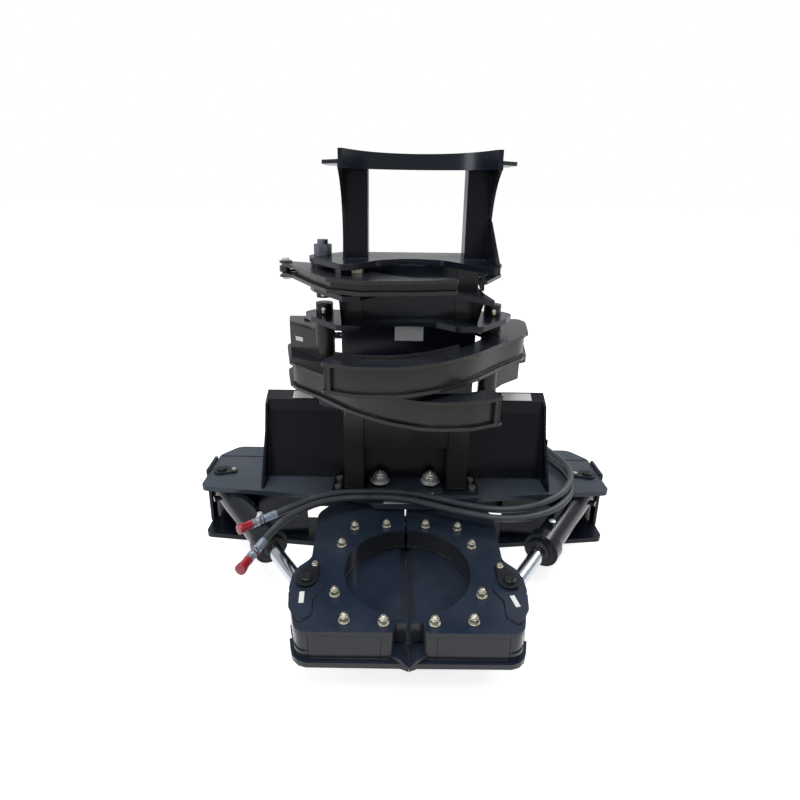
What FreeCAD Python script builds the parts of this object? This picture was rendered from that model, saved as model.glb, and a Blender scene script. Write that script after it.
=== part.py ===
import FreeCAD, Part
import math
import os

os.makedirs("parts", exist_ok=True)

# Grapple tree shear for a skid steer loader, in millimetres, +Z up.
# The tree side faces -Y, the machine side faces +Y, and X = 0 is the middle of the tool.
# The rest pose is the one in the photograph: jaws shut, grapple arms folded, upper arm folded.

# Frame
PLATE = 20.0            # thickness of the two big frame plates
DECK_TOP = 240.0        # top face of the upper frame plate
HALF_WIDTH = 822.0      # half the width of the frame plates over the wings
SIDE_BAR = 12.0         # thickness of the bar outside each wing
WEB_X = 592.0           # inner side of the wings
FRAME_REAR = -50.0      # rear edge of the bottom plate between the wings
PANEL_HALF = 574.5      # half the width of the quick attach plate
PANEL_TOP = 557.0       # height of the quick attach plate's front top edge
PANEL_FOOT_Z = 118.0    # height of its lower edge
PANEL_LEAN = 0.2555     # how far it leans back per millimetre of height
PANEL_NOTCH = 272.0     # half the width of the gap in its lower edge, for the jaws' rear ends
LOCK_SLOT_INSET = 72.5  # from the panel's end to the middle of a locking slot
LOCK_SLOT_X = PANEL_HALF - LOCK_SLOT_INSET
LOCK_SLOT_LONG = 63.0
LOCK_SLOT_WIDE = 29.0

# Jaws
OPENING_R = 205.0       # half round trunk opening
OPENING_Y = -600.0
JAW_PIVOT = (-102.0, -130.0)
JAW_PIN = (-318.0, -662.0)
JAW_TOP = 212.0
JAW_PLATE = 16.0
JAW_FLOOR = 130.0
BLADE_LOW = 105.0
PIVOT_PIN_R = 30.0

# Jaw cylinders
CYL_BASE = (50.0 - HALF_WIDTH, -45.0)
CYL_KEEPER = (CYL_BASE[0] + 52.0, CYL_BASE[1] - 4.0)
CYL_Z = 169.0
CYL_OD = 100.0
CYL_BORE = 80.0
CYL_ROD = 50.0
CYL_PIN_R = 20.0
CYL_EYE_R = 38.0
CYL_EYE_H = 50.0
CYL_GLAND_AT = 495.0
JAW_PLAY = 2.3          # slack the rod eye needs because the linkage is driven by fixed ratios
JAW_EYE_SHIFT = (1.54, -1.25)

# Mast
UPRIGHT_IN = 165.0
UPRIGHT_OUT = 240.0
UPRIGHT_FRONT = -180.0
UPRIGHT_BACK = -92.0
WALL = 8.0
ARM_PIVOT = (-310.0, -100.0)
P1 = (600.0, 616.0)
P3 = (925.0, 945.0)
P4 = (1032.0, 1050.0)
P5 = (1134.0, 1154.0)
TOP_Z = 1498.0
SADDLE_R = 272.0
SADDLE_Y = -438.0
SADDLE_FRONT = -326.0
SADDLE_TALL = 56.0
SHELF_DROP = 43.0       # from the top down to the underside of the flat plate behind the saddle
SADDLE_SHELF = TOP_Z - SHELF_DROP
WAIST_SHARE = 130 / 288  # how far up the curved side plates their waist is
TOP_SHIFT = 20.0        # the top frame stands this far to the right of the middle

# Grapple arms
ARM_LOW = 660.0
ARM_HIGH = 760.0
ARM_PLATE = 12.0
ARM_FLIP_Z = 770.5      # the right arm is the left arm turned over about this height
RIGHT_ARM_OPEN = 4.0    # the right arm rests this many degrees further open
HUB_R = 36.0
ARM_PIN_R = 20.0
LEVER_R = 150.0
LEVER_ANGLE = 122.0
GRAPPLE_BASE = (120.0, 25.0)
GRAPPLE_Z = 825.0
GRAPPLE_OD = 75.0
GRAPPLE_BORE = 60.0
GRAPPLE_ROD = 36.0
GRAPPLE_PIN_R = 12.5
GRAPPLE_EYE_R = 36.0
GRAPPLE_EYE_H = 60.0
GRAPPLE_GLAND_AT = 322.0
LEFT_LEVER_PLAY = 8.6
RIGHT_LEVER_PLAY = 7.6
LEFT_EYE_SHIFT = (1.03, -7.87)
RIGHT_EYE_SHIFT = (1.72, -6.87)

# Upper arm
UPPER_LOW = P4[1] + 18.0
UPPER_HIGH = P5[0] - 18.0
UPPER_PLATE = 12.0
KNUCKLE = (-463.0, -10.0)
UPPER_BASE = (330.0, 10.0)
UPPER_Z = (UPPER_LOW + UPPER_HIGH) / 2.0
UPPER_OD = 54.0
UPPER_BORE = 42.0
UPPER_ROD = 22.0
UPPER_PIN_R = 8.0
UPPER_EYE_R = 22.0
UPPER_EYE_H = 22.0
UPPER_GLAND_AT = 640.0
UPPER_PLAY = 4.2
UPPER_EYE_SHIFT = (3.09, -2.70)

# Hoses
HOSE_R = 12.5

GAP = 0.3               # clearance between neighbours that aren't welded
FIT = 0.05              # radial clearance of a running fit


def vec(x, y, z=0.0):
    return FreeCAD.Vector(x, y, z)


def save(name, shape):
    shape.exportStep("parts/" + name + ".step")


def corner(before, here, after, radius):
    """Start, middle and end of the arc that rounds a corner."""
    a = (vec(*before) - vec(*here)).normalize()
    b = (vec(*after) - vec(*here)).normalize()
    half = a.getAngle(b) / 2.0
    reach = radius / math.tan(half)
    middle = (a + b).normalize()
    centre = vec(*here) + middle * (radius / math.sin(half))
    return vec(*here) + a * reach, centre - middle * radius, vec(*here) + b * reach


def outline(points, z=0.0):
    """A closed wire through (x, y) or (x, y, corner radius) points."""
    count = len(points)
    edges = []
    ends = []
    for i in range(count):
        here = points[i]
        radius = here[2] if len(here) > 2 else 0.0
        if radius > 0.0:
            before = points[i - 1][:2]
            after = points[(i + 1) % count][:2]
            start, middle, end = corner(before, here[:2], after, radius)
            ends.append((start, middle, end))
        else:
            spot = vec(here[0], here[1])
            ends.append((spot, None, spot))
    for i in range(count):
        start, middle, end = ends[i]
        if middle is not None:
            edges.append(Part.Arc(start, middle, end).toShape())
        following = ends[(i + 1) % count][0]
        if (following - end).Length > 1e-6:
            edges.append(Part.LineSegment(end, following).toShape())
    wire = Part.Wire(edges)
    wire.translate(vec(0, 0, z))
    return wire


def slab(points, low, high):
    return Part.Face(outline(points, low)).extrude(vec(0, 0, high - low))


def block(x0, x1, y0, y1, z0, z1):
    return Part.makeBox(x1 - x0, y1 - y0, z1 - z0, vec(x0, y0, z0))


def disc(x, y, low, high, radius):
    return Part.makeCylinder(radius, high - low, vec(x, y, low))


def tube(x, y, low, high, outer, inner):
    return disc(x, y, low, high, outer).cut(disc(x, y, low - 1, high + 1, inner))


def hexagon(x, y, low, high, flats, turn=0.0):
    reach = flats / math.sqrt(3.0)
    points = []
    for i in range(6):
        angle = math.radians(60 * i + turn)
        points.append((x + reach * math.cos(angle), y + reach * math.sin(angle)))
    return slab(points, low, high)


def side_profile(points, x0, x1):
    """A solid with a (y, z) outline, running from x0 to x1."""
    wire = Part.makePolygon([vec(x0, y, z) for y, z in points] + [vec(x0, points[0][0], points[0][1])])
    return Part.Face(wire).extrude(vec(x1 - x0, 0, 0))


def mirrored(shape):
    return shape.mirror(vec(0, 0, 0), vec(1, 0, 0))


def flipped(points):
    return [(-p[0],) + tuple(p[1:]) for p in points]


def turned(shape, pivot, degrees):
    moved = shape.copy()
    moved.rotate(vec(pivot[0], pivot[1], 0), vec(0, 0, 1), degrees)
    return moved


def joined(shapes):
    first = shapes[0]
    if len(shapes) > 1:
        first = first.fuse(shapes[1:])
    return first.removeSplitter()


def offset_path(points, distance):
    """The open path moved sideways, to its left, with mitred corners."""
    moved = []
    for i, point in enumerate(points):
        here = vec(point[0], point[1])
        normals = []
        if i > 0:
            d = (here - vec(*points[i - 1][:2])).normalize()
            normals.append(vec(-d.y, d.x))
        if i < len(points) - 1:
            d = (vec(*points[i + 1][:2]) - here).normalize()
            normals.append(vec(-d.y, d.x))
        if len(normals) == 1:
            shift = normals[0] * distance
        else:
            middle = (normals[0] + normals[1]).normalize()
            shift = middle * (distance / middle.dot(normals[0]))
        moved.append((here.x + shift.x, here.y + shift.y))
    return moved


def band(path, near, far, low, high):
    """A wall that follows a path between two sideways distances."""
    one = offset_path(path, near)
    two = offset_path(path, far)
    return slab(one + two[::-1], low, high)


def panel_face(z):
    """Y of the quick attach plate's front face at a height."""
    return (z - PANEL_TOP) * PANEL_LEAN


# Frame plates

def wing_points():
    right = [(110, -280, 30), (150, -245, 30), (240, -230, 60), (HALF_WIDTH, -166, 28),
             (HALF_WIDTH, 96, 50), (HALF_WIDTH - 64, 178, 50), (WEB_X, 178, 12), (WEB_X, FRAME_REAR)]
    return right + flipped(right)[::-1]


def behind_panel(low, high):
    """What a frame plate gives up to the quick attach plate."""
    points = [(panel_face(low - 5), low - 5), (panel_face(high + 5), high + 5), (300, high + 5), (300, low - 5)]
    return side_profile(points, -WEB_X, WEB_X)


def frame_plate(low, high):
    plate = slab(wing_points(), low, high)
    for side in (-1, 1):
        plate = plate.cut(disc(side * -CYL_BASE[0], CYL_BASE[1], low - 1, high + 1, CYL_PIN_R + GAP))
        plate = plate.cut(disc(side * -JAW_PIVOT[0], JAW_PIVOT[1], low - 1, high + 1, PIVOT_PIN_R + GAP))
    return plate


def frame_bottom_plate():
    shape = frame_plate(0, PLATE)
    for side in (-1, 1):
        x = side * -JAW_PIVOT[0]
        shape = shape.fuse(tube(x, JAW_PIVOT[1], PLATE - 1, 99.5, 62, PIVOT_PIN_R + GAP))
        x = side * -CYL_BASE[0]
        shape = shape.fuse(tube(x, CYL_BASE[1], PLATE - 1, CYL_Z - CYL_EYE_H / 2 - 1, 36, CYL_PIN_R + GAP))
    return shape.removeSplitter()


def frame_top_plate():
    low = DECK_TOP - PLATE
    shape = frame_plate(low, DECK_TOP).cut(behind_panel(low, DECK_TOP))
    for side in (-1, 1):
        x = side * -CYL_BASE[0]
        shape = shape.fuse(tube(x, CYL_BASE[1], CYL_Z + CYL_EYE_H / 2 + 1, low + 1, 36, CYL_PIN_R + GAP))
        x = side * -JAW_PIVOT[0]
        shape = shape.fuse(tube(x, JAW_PIVOT[1], 216.5, low, 62, PIVOT_PIN_R + GAP))
    return shape.removeSplitter()


def side_web():
    """Left inner side wall of a wing, with its rear closing plate."""
    low = PLATE
    high = DECK_TOP - PLATE
    inner = block(-WEB_X - 12, -WEB_X, -120, 166, low, high)
    rear = band([(-WEB_X - 6, 160), (-HALF_WIDTH + 74, 160), (-HALF_WIDTH + 22, 94)], -6, 6, low, high)
    return joined([inner, rear])


def wing_bar():
    """Left bar welded to the outer edges of both frame plates."""
    return block(-HALF_WIDTH - SIDE_BAR, -HALF_WIDTH, -60, 60, 6, DECK_TOP + 12)


def attach_plate():
    foot = panel_face(PANEL_FOOT_Z)
    thick = 10.3
    points = [(foot, PANEL_FOOT_Z), (panel_face(510), 510), (-7, PANEL_TOP), (40, 580),
              (44.5, 571), (3.5, 551), (panel_face(508) + thick, 508), (foot + thick, PANEL_FOOT_Z)]
    plate = side_profile(points, -PANEL_HALF, PANEL_HALF)
    ledge = block(-PANEL_HALF, PANEL_HALF, foot + 4, foot + 78, PANEL_FOOT_Z, PANEL_FOOT_Z + 14)
    ledge_top = PANEL_FOOT_Z + 14
    back = foot + thick
    weld = side_profile([(back - 2, ledge_top - 2), (back + 24 * PANEL_LEAN, PANEL_FOOT_Z + 24),
                         (back + 16, ledge_top), (back + 16, ledge_top - 2)], -PANEL_HALF, PANEL_HALF)
    shape = plate.fuse([ledge, weld])
    for side in (-1, 1):
        x = side * LOCK_SLOT_X
        y = foot + 46
        half = LOCK_SLOT_LONG / 2 - LOCK_SLOT_WIDE / 2
        slot = block(x - half, x + half, y - LOCK_SLOT_WIDE / 2, y + LOCK_SLOT_WIDE / 2, 100, 150)
        slot = slot.fuse(disc(x - half, y, 100, 150, LOCK_SLOT_WIDE / 2))
        slot = slot.fuse(disc(x + half, y, 100, 150, LOCK_SLOT_WIDE / 2))
        shape = shape.cut(slot)
    notch = block(-PANEL_NOTCH, PANEL_NOTCH, -300, 100, 0, DECK_TOP - PLATE / 2)
    gusset = panel_gusset()
    return joined([shape.cut(notch), gusset, mirrored(gusset)])


def panel_gusset():
    """Left tapered gusset in front of the quick attach plate."""
    points = [(panel_face(DECK_TOP), DECK_TOP), (panel_face(510), 510), (-7, PANEL_TOP),
              (-26, PANEL_TOP - 12), (-60, 440), (-168, 268), (-178, DECK_TOP)]
    return side_profile(points, -PANEL_HALF, -PANEL_HALF + 10)


# Jaws

def jaw_points():
    outer = [(-42, -860, 14), (-323, -860, 42), (-350, -760, 60), (-368, -690, 44), (-368, -628, 44),
             (-318, -548, 40), (-324, -422), (-330, -300, 70), (-196, -100, 60)]
    edge = []
    for i in range(0, 9):
        angle = math.radians(180 - 22.5 * i)
        edge.append((JAW_PIVOT[0] + 94 * math.cos(angle), JAW_PIVOT[1] + 94 * math.sin(angle)))
    tail = (-3, -205, 20)
    return outer, edge[1:], tail


def jaw_outline_solid(low, high, shrink=0.0):
    """Plan of a left jaw between two heights, made a little smaller if asked."""
    outer, edge, tail = jaw_points()
    points = outer + edge + [tail, (-3, OPENING_Y + 100), (-42, OPENING_Y + 100)]
    shape = slab(points, low, high)
    if shrink > 0.0:
        wire = Part.Wire(outline(points, low))
        smaller = wire.makeOffset2D(-shrink)
        shape = Part.Face(smaller).extrude(vec(0, 0, high - low))
    return shape


def jaw_walls():
    low = JAW_FLOOR + 6
    high = JAW_TOP - 8
    ring = jaw_outline_solid(low, high, 3.0).cut(jaw_outline_solid(low - 1, high + 1, 15.0))
    ring = ring.cut(block(-420, -250, -735, -560, low - 1, high + 1))
    ring = ring.cut(disc(0, OPENING_Y, low - 1, high + 1, OPENING_R + 5))
    ring = ring.cut(block(-200, 0, -230, 0, low - 1, high + 1))
    pocket = tube(0, OPENING_Y, low, high, OPENING_R + 14, OPENING_R + 2)
    pocket = pocket.cut(block(-6, 300, -900, -300, low - 1, high + 1))
    return [ring, pocket]


def left_jaw_body():
    top = jaw_outline_solid(JAW_TOP - JAW_PLATE, JAW_TOP)
    floor = jaw_outline_solid(JAW_FLOOR, JAW_FLOOR + 12)
    opening = disc(0, OPENING_Y, 0, 400, OPENING_R)
    doubler = slab([(-352, -600, 10), (-318, -560, 14), (-283, -585, 12), (-286, -640, 14), (-262, -690, 14),
                    (-288, -740, 14), (-282, -800, 14), (-318, -828, 10), (-352, -770, 14), (-364, -690, 30),
                    (-366, -640, 24)],
                   JAW_TOP - 1, JAW_TOP + 5)
    shape = joined([top, floor, doubler] + jaw_walls())
    shape = shape.cut(opening)
    hub = disc(JAW_PIVOT[0], JAW_PIVOT[1], 100, 216, 75)
    shape = shape.fuse(hub)
    shape = shape.cut(disc(JAW_PIVOT[0], JAW_PIVOT[1], 50, 250, PIVOT_PIN_R + FIT))
    shape = shape.cut(disc(JAW_PIN[0], JAW_PIN[1], 50, 250, CYL_PIN_R + FIT))
    for x, y in jaw_bolt_spots():
        shape = shape.cut(disc(x, y, 50, 250, 10.5))
    shape = shape.cut(disc(-300, -598, 190, 250, 5.3))
    return shape.removeSplitter()


def jaw_bolt_spots():
    return [(-186, -385), (-71, -371), (-224, -484), (-224, -715), (-186, -818), (-73, -824)]


def left_jaw_blade():
    points = [(-0.5, -884), (-60, -858), (-298, -850, 30), (-318, -790, 20), (-300, -720, 20), (-290, -600, 20),
              (-310, -540, 20), (-314, -330, 40), (-240, -236, 10), (-0.5, -236)]
    blade = slab(points, BLADE_LOW, JAW_FLOOR - GAP)
    bevel = Part.makePolygon([vec(-24, 0, JAW_FLOOR), vec(1, 0, JAW_FLOOR), vec(1, 0, BLADE_LOW + 4),
                              vec(-24, 0, JAW_FLOOR)])
    bevel = Part.Face(bevel).extrude(vec(0, 700, 0))
    bevel.translate(vec(0, -900, 0))
    blade = blade.cut(bevel)
    for x, y in jaw_bolt_spots():
        blade = blade.cut(disc(x, y, 50, 250, 10.5))
    return blade.removeSplitter()


def left_jaw_bolts():
    solids = []
    for x, y in jaw_bolt_spots():
        shank = disc(x, y, BLADE_LOW - 2, JAW_TOP + 27, 10)
        head = hexagon(x, y, BLADE_LOW - 13.3, BLADE_LOW - GAP, 30, 10)
        solids.append(head.fuse(shank))
    keeper = hexagon(-300, -598, JAW_TOP + 13.3, JAW_TOP + 21, 17).fuse(disc(-300, -598, JAW_TOP - 14, JAW_TOP + 14, 5))
    solids.append(keeper)
    return Part.makeCompound(solids)


def left_jaw_nuts():
    solids = []
    for x, y in jaw_bolt_spots():
        base = JAW_TOP + GAP
        washer = disc(x, y, base, base + 3, 19)
        nut = hexagon(x, y, base + 2.9, base + 19, 30, 20)
        solids.append(washer.fuse(nut).cut(disc(x, y, base - 1, base + 30, 10.2)))
    return Part.makeCompound(solids)


def flag_pin(x, y, low, seat, radius, bolt_x, bolt_y, lift=8.0):
    """A pin with a teardrop keeper plate under its head."""
    pin = disc(x, y, low, seat + lift + 6, radius)
    dx = bolt_x - x
    dy = bolt_y - y
    length = math.hypot(dx, dy)
    ux, uy = dx / length, dy / length
    nx, ny = -uy, ux
    wide = radius + 14
    flag = disc(x, y, seat, seat + lift, wide)
    tip = disc(bolt_x, bolt_y, seat, seat + lift, 15)
    bridge = slab([(x + nx * wide, y + ny * wide), (bolt_x + nx * 15, bolt_y + ny * 15),
                   (bolt_x - nx * 15, bolt_y - ny * 15), (x - nx * wide, y - ny * wide)], seat, seat + lift)
    shape = joined([pin, flag, tip, bridge])
    return shape.cut(disc(bolt_x, bolt_y, seat - 5, seat + 40, 5.5))


def left_jaw_pin():
    return flag_pin(JAW_PIN[0], JAW_PIN[1], JAW_FLOOR, JAW_TOP + 5 + GAP, CYL_PIN_R, -300, -598)


# Cylinders, drawn along +X from the base eye and then turned into place

def cylinder_barrel(sizes, neck_long=6.0):
    outer, bore, rod, eye_r, eye_h, pin_r, gland_at, gland_long, gland_r = sizes
    eye = disc(0, 0, -eye_h / 2, eye_h / 2, eye_r)
    start = eye_r + neck_long
    neck = block(0, start + 2, -eye_r * 0.8, eye_r * 0.8, -eye_h / 2 + 2, eye_h / 2 - 2)
    body = Part.makeCylinder(outer / 2, gland_at - start, vec(start, 0, 0), vec(1, 0, 0))
    collar = Part.makeCylinder(gland_r, gland_long, vec(gland_at - gland_long, 0, 0), vec(1, 0, 0))
    shape = joined([eye, neck, body, collar])
    inside = Part.makeCylinder(bore / 2, gland_at - gland_long - start - 16, vec(start + 16, 0, 0), vec(1, 0, 0))
    hole = Part.makeCylinder(rod / 2 + FIT, gland_at, vec(start + 16, 0, 0), vec(1, 0, 0))
    shape = shape.cut(inside)
    shape = shape.cut(hole)
    return shape.cut(disc(0, 0, -eye_h, eye_h, pin_r))


def port(length_at, angle, outer, tall):
    """A hose port standing on a barrel."""
    base = vec(length_at, 0, 0)
    direction = vec(0, math.cos(math.radians(angle)), math.sin(math.radians(angle)))
    return Part.makeCylinder(11, tall, base + direction * (outer / 2 - 5), direction)


def cylinder_rod(sizes, length, eye_bore, piston_long, shift=(0.0, 0.0), travel_gap=6.0):
    outer, bore, rod, eye_r, eye_h, pin_r, gland_at, gland_long, gland_r = sizes
    eye_x = length + shift[0]
    eye_y = shift[1]
    front = gland_at - gland_long - travel_gap
    piston = Part.makeCylinder(bore / 2 - FIT, piston_long, vec(front - piston_long, 0, 0), vec(1, 0, 0))
    stem = Part.makeCylinder(rod / 2, eye_x - eye_r * 0.6 - front + 2, vec(front - 2, 0, 0), vec(1, 0, 0))
    eye = disc(eye_x, eye_y, -eye_h / 2, eye_h / 2, eye_r)
    shape = joined([piston, stem, eye])
    return shape.cut(disc(eye_x, eye_y, -eye_h, eye_h, eye_bore))


def placed(shape, base, target, z):
    angle = math.degrees(math.atan2(target[1] - base[1], target[0] - base[0]))
    moved = shape.copy()
    moved.rotate(vec(0, 0, 0), vec(0, 0, 1), angle)
    moved.translate(vec(base[0], base[1], z))
    return moved


def span(base, target):
    return math.hypot(target[0] - base[0], target[1] - base[1])


JAW_SIZES = (CYL_OD, CYL_BORE, CYL_ROD, CYL_EYE_R, CYL_EYE_H, CYL_PIN_R + FIT, CYL_GLAND_AT, 46.0, 62.0)
GRAPPLE_SIZES = (GRAPPLE_OD, GRAPPLE_BORE, GRAPPLE_ROD, GRAPPLE_EYE_R, GRAPPLE_EYE_H, GRAPPLE_PIN_R + FIT,
                 GRAPPLE_GLAND_AT, 30.0, GRAPPLE_OD / 2)
UPPER_SIZES = (UPPER_OD, UPPER_BORE, UPPER_ROD, UPPER_EYE_R, UPPER_EYE_H, UPPER_PIN_R + FIT,
               UPPER_GLAND_AT, 26.0, UPPER_OD / 2)


def left_jaw_barrel():
    shape = cylinder_barrel(JAW_SIZES)
    shape = shape.fuse(port(CYL_GLAND_AT - 92, 90, CYL_OD, 24))
    shape = shape.fuse(port(80, -180, CYL_OD, 22))
    return placed(shape.removeSplitter(), CYL_BASE, JAW_PIN, CYL_Z)


def left_jaw_rod():
    shape = cylinder_rod(JAW_SIZES, span(CYL_BASE, JAW_PIN), CYL_PIN_R + JAW_PLAY, 45.0, JAW_EYE_SHIFT)
    return placed(shape, CYL_BASE, JAW_PIN, CYL_Z)


# Mast

def upright():
    """Left upright box with its foot."""
    low = DECK_TOP
    outer = block(-UPRIGHT_OUT, -UPRIGHT_IN, UPRIGHT_FRONT, UPRIGHT_BACK, low + 11, P5[0] - GAP)
    inner = block(-UPRIGHT_OUT + WALL, -UPRIGHT_IN - WALL, UPRIGHT_FRONT + WALL, UPRIGHT_BACK - WALL,
                  low + 30, P5[0] - GAP - WALL)
    foot = slab([(-290, -205, 8), (-150, -205, 8), (-150, -86), (-290, -86, 8)], low, low + 12)
    shape = joined([outer, foot])
    shape = shape.cut(inner)
    for y in (-180, -118):
        shape = shape.cut(disc(-266, y, low - 1, low + 20, 8.5))
    return shape.removeSplitter()


def upright_clearance(shape):
    for side in (-1, 1):
        x0 = min(side * (UPRIGHT_IN - GAP), side * (UPRIGHT_OUT + GAP))
        x1 = max(side * (UPRIGHT_IN - GAP), side * (UPRIGHT_OUT + GAP))
        shape = shape.cut(block(x0, x1, UPRIGHT_FRONT - GAP, UPRIGHT_BACK + GAP, P1[0] - 50, TOP_Z))
    return shape


def pin_hole(shape, x, radius=ARM_PIN_R + FIT):
    return shape.cut(disc(x, ARM_PIVOT[1], P1[0] - 50, TOP_Z, radius))


def grapple_plate_lower():
    right = [(225, -262, 20), (262, -198, 20), (330, -160, 30), (368, -100, 44), (345, -46, 30), (262, -52, 10)]
    shape = slab(right + flipped(right)[::-1], P1[0], P1[1])
    shape = upright_clearance(shape)
    return pin_hole(pin_hole(shape, ARM_PIVOT[0]), -ARM_PIVOT[0])


def grapple_plate_upper():
    right = [(20, -218, 60), (90, -226, 60), (165, -296, 30), (245, -290, 30), (352, -160, 30), (388, -92, 40),
             (352, -44, 30), (262, -52, 10)]
    shape = slab(right + flipped(right)[::-1], P3[0], P3[1])
    shape = upright_clearance(shape)
    return pin_hole(pin_hole(shape, ARM_PIVOT[0]), -ARM_PIVOT[0])


def trunk_cradle_lower():
    points = [(270, -378, 6), (252, -250, 10), (246, -60, 6), (-262, -52, 6), (-345, -58, 30), (-360, -110, 30),
              (-338, -160, 20), (-218, -328, 16), (-170, -310, 20), (-110, -228, 60), (0, -190, 120), (120, -216, 90),
              (205, -300, 60)]
    plate = slab(points, P4[0], P4[1])
    plate = upright_clearance(plate)
    gussets = []
    for side in (-1, 1):
        x0 = min(side * 236, side * 224)
        lean = side_profile([(-190, P3[1]), (-190, P4[0] + 1), (-340 if side > 0 else -300, P4[0] + 1),
                             (-240, P3[1])], x0, x0 + 12)
        gussets.append(lean)
    shape = joined([plate] + gussets)
    return pin_hole(shape, ARM_PIVOT[0], 19 + GAP)


def trunk_cradle_upper():
    points = [(262, -402, 6), (273, -250, 10), (270, 20, 20), (-246, 20, 20), (-300, -52, 20), (-345, -58, 30),
              (-360, -110, 30), (-338, -160, 20), (-222, -328, 20), (-180, -318, 30), (-110, -212, 70),
              (0, -160, 130), (110, -196, 100), (190, -300, 60)]
    shape = slab(points, P5[0], P5[1])
    return pin_hole(shape, ARM_PIVOT[0], 19 + FIT)


def mast_front_plate_lower():
    return block(-UPRIGHT_IN + GAP, UPRIGHT_IN - GAP, -172, -160, 425, P1[0] - GAP)


def mast_front_plate_upper():
    return block(-UPRIGHT_OUT + 2, UPRIGHT_OUT - 2, UPRIGHT_FRONT - 10 - GAP, UPRIGHT_FRONT - GAP,
                 P1[1] + GAP, P3[0] - GAP)


def mast_back_bracket():
    """Rear cross plate with the lugs for the two grapple cylinders."""
    plate = block(-UPRIGHT_IN + GAP, UPRIGHT_IN - GAP, UPRIGHT_BACK - 12, UPRIGHT_BACK, 640, 900)
    shapes = [plate]
    holes = []
    for side, z in ((1, GRAPPLE_Z), (-1, 2 * ARM_FLIP_Z - GRAPPLE_Z)):
        x = side * GRAPPLE_BASE[0]
        y = GRAPPLE_BASE[1]
        for low in (z - GRAPPLE_EYE_H / 2 - 13, z + GRAPPLE_EYE_H / 2 + 1):
            points = [(x - 36, UPRIGHT_BACK - 2), (x + 36, UPRIGHT_BACK - 2), (x + 34, y + 20, 18),
                      (x - 34, y + 20, 18)]
            shapes.append(slab(points, low, low + 12))
        holes.append(disc(x, y, z - 60, z + 60, GRAPPLE_PIN_R + FIT))
    shape = joined(shapes)
    for hole in holes:
        shape = shape.cut(hole)
    return shape


def cylinder_anchor_pins():
    solids = [upper_base_pin()]
    for side, z in ((1, GRAPPLE_Z), (-1, 2 * ARM_FLIP_Z - GRAPPLE_Z)):
        x = side * GRAPPLE_BASE[0]
        y = GRAPPLE_BASE[1]
        pin = disc(x, y, z - 50, z + 44, GRAPPLE_PIN_R)
        head = disc(x, y, z + 43.3, z + 50, 19)
        solids.append(pin.fuse(head))
    return Part.makeCompound(solids)


# Top frame

def top_side_plate():
    """Left post of the top frame with its curved side plate: a waist in the middle and a horn at the top."""
    base = P5[1]
    start = vec(-250, -196, base)
    tip = vec(-250, -322, TOP_Z - SADDLE_TALL)
    waist = vec(-250, -188, base + WAIST_SHARE * (tip.z - base))
    high = SADDLE_SHELF - GAP
    edges = [Part.Arc(start, waist, tip).toShape(),
             Part.LineSegment(tip, vec(-250, -322, high)).toShape(),
             Part.LineSegment(vec(-250, -322, high), vec(-250, -70, high)).toShape(),
             Part.LineSegment(vec(-250, -70, high), vec(-250, -70, base)).toShape(),
             Part.LineSegment(vec(-250, -70, base), start).toShape()]
    plate = Part.Face(Part.Wire(edges)).extrude(vec(250 - UPRIGHT_OUT, 0, 0))
    post = block(-UPRIGHT_OUT, -UPRIGHT_IN, UPRIGHT_FRONT, UPRIGHT_BACK, base, high)
    inner = block(-UPRIGHT_OUT + WALL, -UPRIGHT_IN - WALL, UPRIGHT_FRONT + WALL, UPRIGHT_BACK - WALL,
                  base + WALL, high - WALL)
    shape = joined([plate, post]).cut(inner)
    return shape.cut(disc(0, SADDLE_Y, TOP_Z - SADDLE_TALL - GAP, TOP_Z, SADDLE_R + GAP))


def right_side_plate():
    shape = mirrored(top_side_plate())
    base = P5[1]
    horn = side_profile([(-150, base), (-392, base), (-385, base + 14), (-200, base + 130), (-150, base + 130)],
                        UPRIGHT_OUT, 250)
    return joined([shape, horn])


def top_placed(shape):
    """The top frame's piece moved to where it stands on the upper cradle."""
    moved = shape.copy()
    moved.translate(vec(TOP_SHIFT, 0, 0))
    return moved


def top_saddle():
    low = TOP_Z - SADDLE_TALL
    ring = tube(0, SADDLE_Y, low, TOP_Z, SADDLE_R, SADDLE_R - 12)
    shape = ring.cut(block(-400, 400, -900, SADDLE_FRONT, low - 1, TOP_Z + 1))
    return shape.cut(side_profile([(-330, TOP_Z + 1), (-70, TOP_Z + 1), (-70, TOP_Z - 12)], -400, 400))


def top_saddle_plate():
    points = [(250, -318), (305, -262, 10), (305, -120, 10), (262, -60, 10)]
    points = points + flipped(points)[::-1]
    shape = slab(points, SADDLE_SHELF, SADDLE_SHELF + 12)
    return shape.cut(disc(0, SADDLE_Y, SADDLE_SHELF - 5, SADDLE_SHELF + 20, SADDLE_R + GAP))


# Grapple arms

def arm_outer_path():
    return [(-470, -12), (-446, -125), (-415, -166), (-322, -250), (-215, -361), (-144, -417), (-66, -466),
            (39, -506), (91, -511), (197, -502), (301, -456)]


def arm_plan():
    inner = [(271, -387, 8), (184, -428, 60), (93, -436, 60), (48, -432, 60), (-36, -399, 60), (-103, -356, 60),
             (-170, -303, 60), (-262, -196, 10), (-300, -100)]
    outer = [(-446, -125, 12), (-415, -166, 20), (-322, -250, 20), (-215, -361, 40), (-144, -417, 60),
             (-66, -466, 60), (39, -506, 50), (91, -511, 30), (197, -502, 60), (301, -456, 8)]
    return outer + inner


def rear_plan():
    return [(-440, -130), (-446, -125, 6), (-474, -10, 30), (-484, 40, 14), (-468, 88, 24), (-368, 88, 24),
            (-296, -34, 4), (-300, -130)]


def arm_flange(low, high):
    shapes = [slab(arm_plan(), low, high), slab(rear_plan(), low, high),
              disc(ARM_PIVOT[0], ARM_PIVOT[1], low, high, 62)]
    return joined(shapes)


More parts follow.
